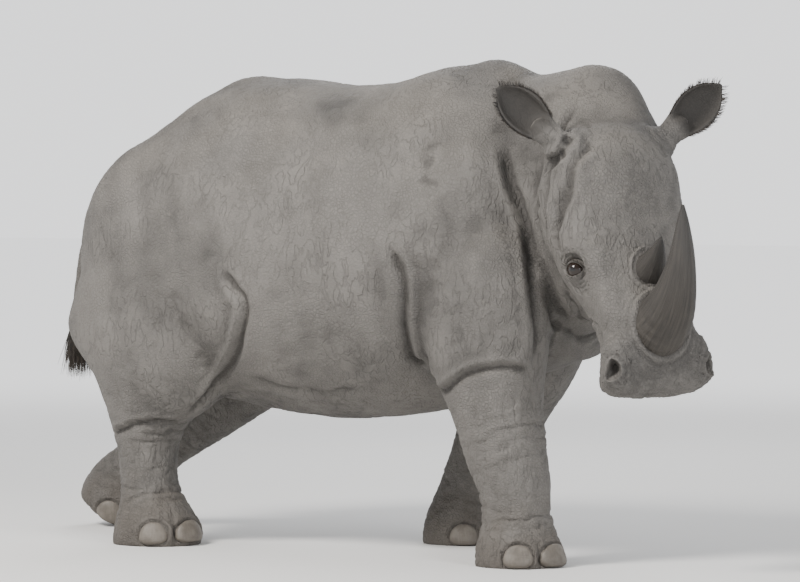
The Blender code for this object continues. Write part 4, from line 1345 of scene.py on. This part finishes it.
def nail_piece(name, rows, turn, half_width):
    middle, lean, sideways, rise = nail_axes(rows, turn, half_width)
    bm = bmesh.new()
    bmesh.ops.create_uvsphere(bm, u_segments=52, v_segments=40, radius=1)
    for vertex in bm.verts:
        x, y, z = vertex.co
        square = (abs(y) ** 2.7 + abs(z) ** 2.7 + abs(x) ** 2.7) ** (-1 / 2.7)
        x, y, z = x * square, y * square, z * square
        x = math.copysign(abs(x) ** 0.62, x)
        lines = 0.0009 * math.sin(30 * z + 3 * y * y) + 0.0005 * math.sin(47 * z + 2 * y)
        lines += 0.0004 * math.sin(31 * y)
        thick = 0.0185 * (0.94 + 0.12 * (0.5 - 0.5 * z)) + lines * max(x, 0)
        wide = half_width * (NAIL_WIDER - 0.17 * z)
        bow = (y * wide) ** 2 / 0.30
        lift = z * NAIL_HALF_HEIGHT * (1 - 0.14 * y * y) - NAIL_SINKS
        place = middle + lean * (x * thick - bow) + sideways * y * wide + rise * lift
        place.z = max(place.z, NAIL_OFF_FLOOR)
        vertex.co = place
    made = made_object(name, bm)
    made.data.shade_smooth()
    return made


def nail_material():
    coat = Coat("toenail", 0.5)
    places = coat.places()
    height = coat.node("ShaderNodeSeparateXYZ", {}, {0: places}, "Z")
    lines = coat.noise(coat.stretched(places, (1.0, 1.0, 9.0)), 22.0, 4.0)
    streaks = coat.noise(coat.stretched(places, (6.0, 6.0, 1.0)), 22.0, 4.0)
    stain = coat.noise(places, 26.0, 4.0)
    colour = coat.mix(streaks, (0.095, 0.083, 0.069, 1), (0.185, 0.163, 0.136, 1))
    colour = coat.mix(stain.within(0.42, 0.68) * 0.55, colour, (0.070, 0.058, 0.046, 1))
    worn = 1 - (height + stain * 0.03).within(0.015, 0.05)
    colour = coat.mix(worn * 0.7, colour, (0.055, 0.045, 0.035, 1))
    return coat.finish(colour, lines * 0.6 + streaks * 0.4, 0.0016, 0.42 + stain * 0.3)


toenail = nail_material()
for leg, rows in LEGS.items():
    fan = 1 if "left" in leg else -1
    for toe, turn, half_width in TOES:
        node = f"nail_{leg}_{toe}"
        nail = nail_piece(node + "_horn", rows, math.radians(turn * fan), half_width)
        nail.data.materials.append(toenail)
        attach(nail, "root")
        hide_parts(node)

# ---- Tail tuft, ear fringes and lashes --------------------------------------------------------
# The only hair on the animal: coarse dark bristles on both edges and the tip of the tail, a fringe
# round each ear and short lashes. Every hair grows out of the hide.

TUFT_HAIRS, FRINGE_HAIRS, LASHES = 1000, 430, 90
HAIR_WAVE = 4.6
HAIR_PATCH = 0.003


def hair_tree():
    """Thin tapered tubes from roots that say which way, how far and with what bend they grow."""
    tree = bpy.data.node_groups.new("coarse_hair", "GeometryNodeTree")
    sockets = (
        ("Roots", "NodeSocketGeometry"), ("Joints", "NodeSocketInt"), ("Thickness", "NodeSocketFloat"),
        ("Taper", "NodeSocketFloat"), ("Hair", "NodeSocketMaterial"),
    )
    for name, kind in sockets:
        tree.interface.new_socket(name, in_out="INPUT", socket_type=kind)
    tree.interface.new_socket("Hairs", in_out="OUTPUT", socket_type="NodeSocketGeometry")

    def node(kind, settings, inputs, output=0):
        return add_node(tree, kind, settings, inputs)[output]

    def named(label, kind="FLOAT_VECTOR"):
        settings = {"data_type": kind}
        return node("GeometryNodeInputNamedAttribute", settings, {"Name": label}, "Attribute")

    def maths(operation, first, second=0.5):
        return node("ShaderNodeMath", {"operation": operation}, {0: first, 1: second})

    def scaled(way, size):
        return node("ShaderNodeVectorMath", {"operation": "SCALE"}, {0: way, "Scale": size})

    def added(first, second):
        return node("ShaderNodeVectorMath", {"operation": "ADD"}, {0: first, 1: second})

    def stored(shape, label, value, kind="FLOAT", domain="POINT"):
        settings = {"data_type": kind, "domain": domain}
        inputs = {"Geometry": shape, "Name": label, "Value": value}
        return node("GeometryNodeStoreNamedAttribute", settings, inputs)

    given = tree.nodes.new("NodeGroupInput").outputs
    line = node("GeometryNodeCurvePrimitiveLine", {}, {"End": (0, 0, 1)})
    line = node("GeometryNodeResampleCurve", {}, {"Curve": line, "Count": given["Joints"]})
    turned = node("FunctionNodeAlignRotationToVector", {"axis": "Z"}, {"Vector": named("way")})
    reach = named("reach", "FLOAT")
    hairs = {"Points": given["Roots"], "Instance": line, "Rotation": turned, "Scale": reach}
    hairs = node("GeometryNodeInstanceOnPoints", {}, hairs)
    hairs = node("GeometryNodeRealizeInstances", {}, {"Geometry": hairs})
    share = node("GeometryNodeSplineParameter", {}, {}, "Factor")
    square = maths("POWER", share, 2.0)
    wave = maths("MULTIPLY", maths("SINE", maths("MULTIPLY", share, HAIR_WAVE)), share)
    shift = added(scaled(named("bend"), square), scaled(named("swirl"), wave))
    hairs = node("GeometryNodeSetPosition", {}, {"Geometry": hairs, "Offset": shift})
    hairs = stored(hairs, "up_hair", share)
    radius = maths("SUBTRACT", 1.0, maths("MULTIPLY", given["Taper"], square))
    radius = maths("MULTIPLY", given["Thickness"], radius)
    ring = node("GeometryNodeCurvePrimitiveCircle", {}, {"Resolution": 4, "Radius": 1.0})
    ring = stored(ring, "round_hair", share)
    solid = {"Curve": hairs, "Profile Curve": ring, "Scale": radius, "Fill Caps": True}
    solid = node("GeometryNodeCurveToMesh", {}, solid)
    patch = {"X": named("round_hair", "FLOAT"), "Y": named("up_hair", "FLOAT")}
    patch = scaled(node("ShaderNodeCombineXYZ", {}, patch), HAIR_PATCH)
    solid = stored(solid, "OFBake", added(named("root_map"), patch), "FLOAT2", "CORNER")
    solid = node("GeometryNodeSetMaterial", {}, {"Geometry": solid, "Material": given["Hair"]})
    add_node(tree, "NodeGroupOutput", {}, {"Hairs": solid})
    return tree


def hair_material():
    coat = Coat("coarse_hair", 0.45)
    up = coat.kept("up_hair")
    tint = coat.noise(coat.places(), 60.0, 2.0)
    colour = coat.mix(tint.within(0.35, 0.65), (0.010, 0.008, 0.007, 1), (0.034, 0.026, 0.020, 1))
    colour = coat.mix(up.within(0.55, 1.0) * 0.5, colour, (0.060, 0.046, 0.034, 1))
    return coat.finish(colour, None, 0.001, 0.42 + tint * 0.2)


HAIR_TREE = hair_tree()
COARSE_HAIR = hair_material()


def grown_hair(name, roots, joints, thickness, taper):
    """Hairs from rows of root, way, reach, bend, swirl and the root's place on the unwrapped skin."""
    mesh = bpy.data.meshes.new(name + "_roots")
    mesh.from_pydata([row[0] for row in roots], [], [])
    for label, column in (("way", 1), ("bend", 3), ("swirl", 4), ("root_map", 5)):
        values = np.array([tuple(row[column]) for row in roots], np.float32)
        mesh.attributes.new(label, "FLOAT_VECTOR", "POINT").data.foreach_set("vector", values.ravel())
    keep_on_points(mesh, reach=np.array([row[2] for row in roots]))
    planted = bpy.data.objects.new(name + "_roots", mesh)
    bpy.context.scene.collection.objects.link(planted)
    grown = planted.modifiers.new("hair", "NODES")
    grown.node_group = HAIR_TREE
    given = {"Joints": joints, "Thickness": thickness, "Taper": taper, "Hair": COARSE_HAIR}
    for socket in HAIR_TREE.interface.items_tree:
        if socket.name in given:
            grown[socket.identifier] = given[socket.name]
    view = bpy.context.evaluated_depsgraph_get()
    solid = bpy.data.meshes.new_from_object(planted.evaluated_get(view))
    planted.modifiers.remove(grown)
    bpy.data.objects.remove(planted)
    made = bpy.data.objects.new(name, solid)
    bpy.context.scene.collection.objects.link(made)
    solid.shade_smooth()
    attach(made, "root")
    return made


chance = np.random.default_rng(17)


def jitter(size):
    return Vector(chance.normal(0, size, 3))


def unrolled(around, up):
    """A place on the unwrapped skin, a little inside its edges."""
    return (0.02 + around, 0.02 + up, 0)


tuft_low, tuft_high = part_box("tail_tuft")
tail_line = np.array([row[:3] for row in TAIL[-3:]]) + np.array(CENTRING)
roots = []
for _ in range(TUFT_HAIRS):
    share = chance.uniform() ** 0.7
    top = min(tuft_high.z + 0.02, tail_line[0][2])
    height = top + (tail_line[-1][2] + 0.004 - top) * share
    place = Vector([np.interp(-height, -tail_line[:, 2], tail_line[:, k]) for k in range(3)])
    edge = chance.choice((-1, 1)) * 90 + chance.normal(0, 38)
    radial = Vector((math.cos(math.radians(edge)), math.sin(math.radians(edge)), 0))
    root = place + Vector((radial.x * 0.015, radial.y * 0.018, 0))
    reach = (root.z - tuft_low.z - 0.004) * chance.uniform(0.72, 0.97)
    reach = min(reach, chance.uniform(0.11, 0.19)) if share < 0.72 else reach
    way = (radial * (0.10 + 0.16 * chance.uniform()) - UP + jitter(0.05)).normalized()
    bend = -radial * reach * 0.10 + jitter(reach * 0.03)
    swirl = jitter(reach * 0.022)
    roots.append((root, way, reach, bend, swirl, unrolled(0.95 * (edge / 360 % 1), 0.95 * share)))
tuft = grown_hair("tail_tuft_hairs", roots, joints=7, thickness=0.0013, taper=0.75)
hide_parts("tail_tuft")

roots = []
for sign in (-1, 1):
    root, axis, face, side = ear_axes(sign)
    loops = ear_loops(sign)
    for _ in range(FRINGE_HAIRS):
        share = chance.uniform(0.36, 0.985)
        spot = share * (len(loops) - 1)
        ring, part = int(spot), spot % 1
        edge = chance.choice((0, 25))
        rim = Vector(loops[ring][edge]).lerp(Vector(loops[ring + 1][edge]), part)
        middle = (Vector(loops[ring][0]) + Vector(loops[ring][25])) / 2
        outwards = (rim - middle).normalized()
        way = outwards * 0.75 + axis * (0.35 + 0.6 * share) + face * 0.35
        way = (way + jitter(0.16)).normalized()
        reach = chance.uniform(0.009, 0.019) * (0.8 + 0.5 * share)
        place = rim - outwards * 0.005 + face * 0.002
        around = 0.46 * (sign > 0) + 0.2 * (edge > 0) + 0.1 * chance.uniform()
        swirl = jitter(reach * 0.06)
        roots.append((place, way, reach, axis * reach * 0.22, swirl, unrolled(around, 0.9 * share)))
grown_hair("ear_fringes", roots, joints=5, thickness=0.00065, taper=0.8)

roots = []
for k, (middle, out, _, up, _, loops) in enumerate(inlays[:2]):
    rim = loops[-4]
    for _ in range(LASHES):
        part = (0.06, 0.94) if chance.uniform() < 0.78 else (1.2, 1.8)
        turn = chance.uniform(*part) * math.pi
        upper = math.sin(turn) > 0
        place = Vector(rim[round(turn / math.tau * len(rim)) % len(rim)])
        flat = (place - middle) - out * (place - middle).dot(out)
        way = out * 0.75 + flat.normalized() * 0.75 - up * (0.10 if upper else -0.15)
        way = (way + jitter(0.10)).normalized()
        reach = chance.uniform(0.013, 0.022) * (1 if upper else 0.6)
        unwrapped = unrolled(0.48 * k + 0.44 * turn / math.tau, 0.48 + 0.3 * chance.uniform())
        place = place - out * 0.0015 + flat.normalized() * 0.0012
        lift = up * reach * (0.30 if upper else -0.30)
        roots.append((place, way, reach, lift, jitter(reach * 0.03), unwrapped))
grown_hair("lashes", roots, joints=5, thickness=0.00055, taper=0.85)
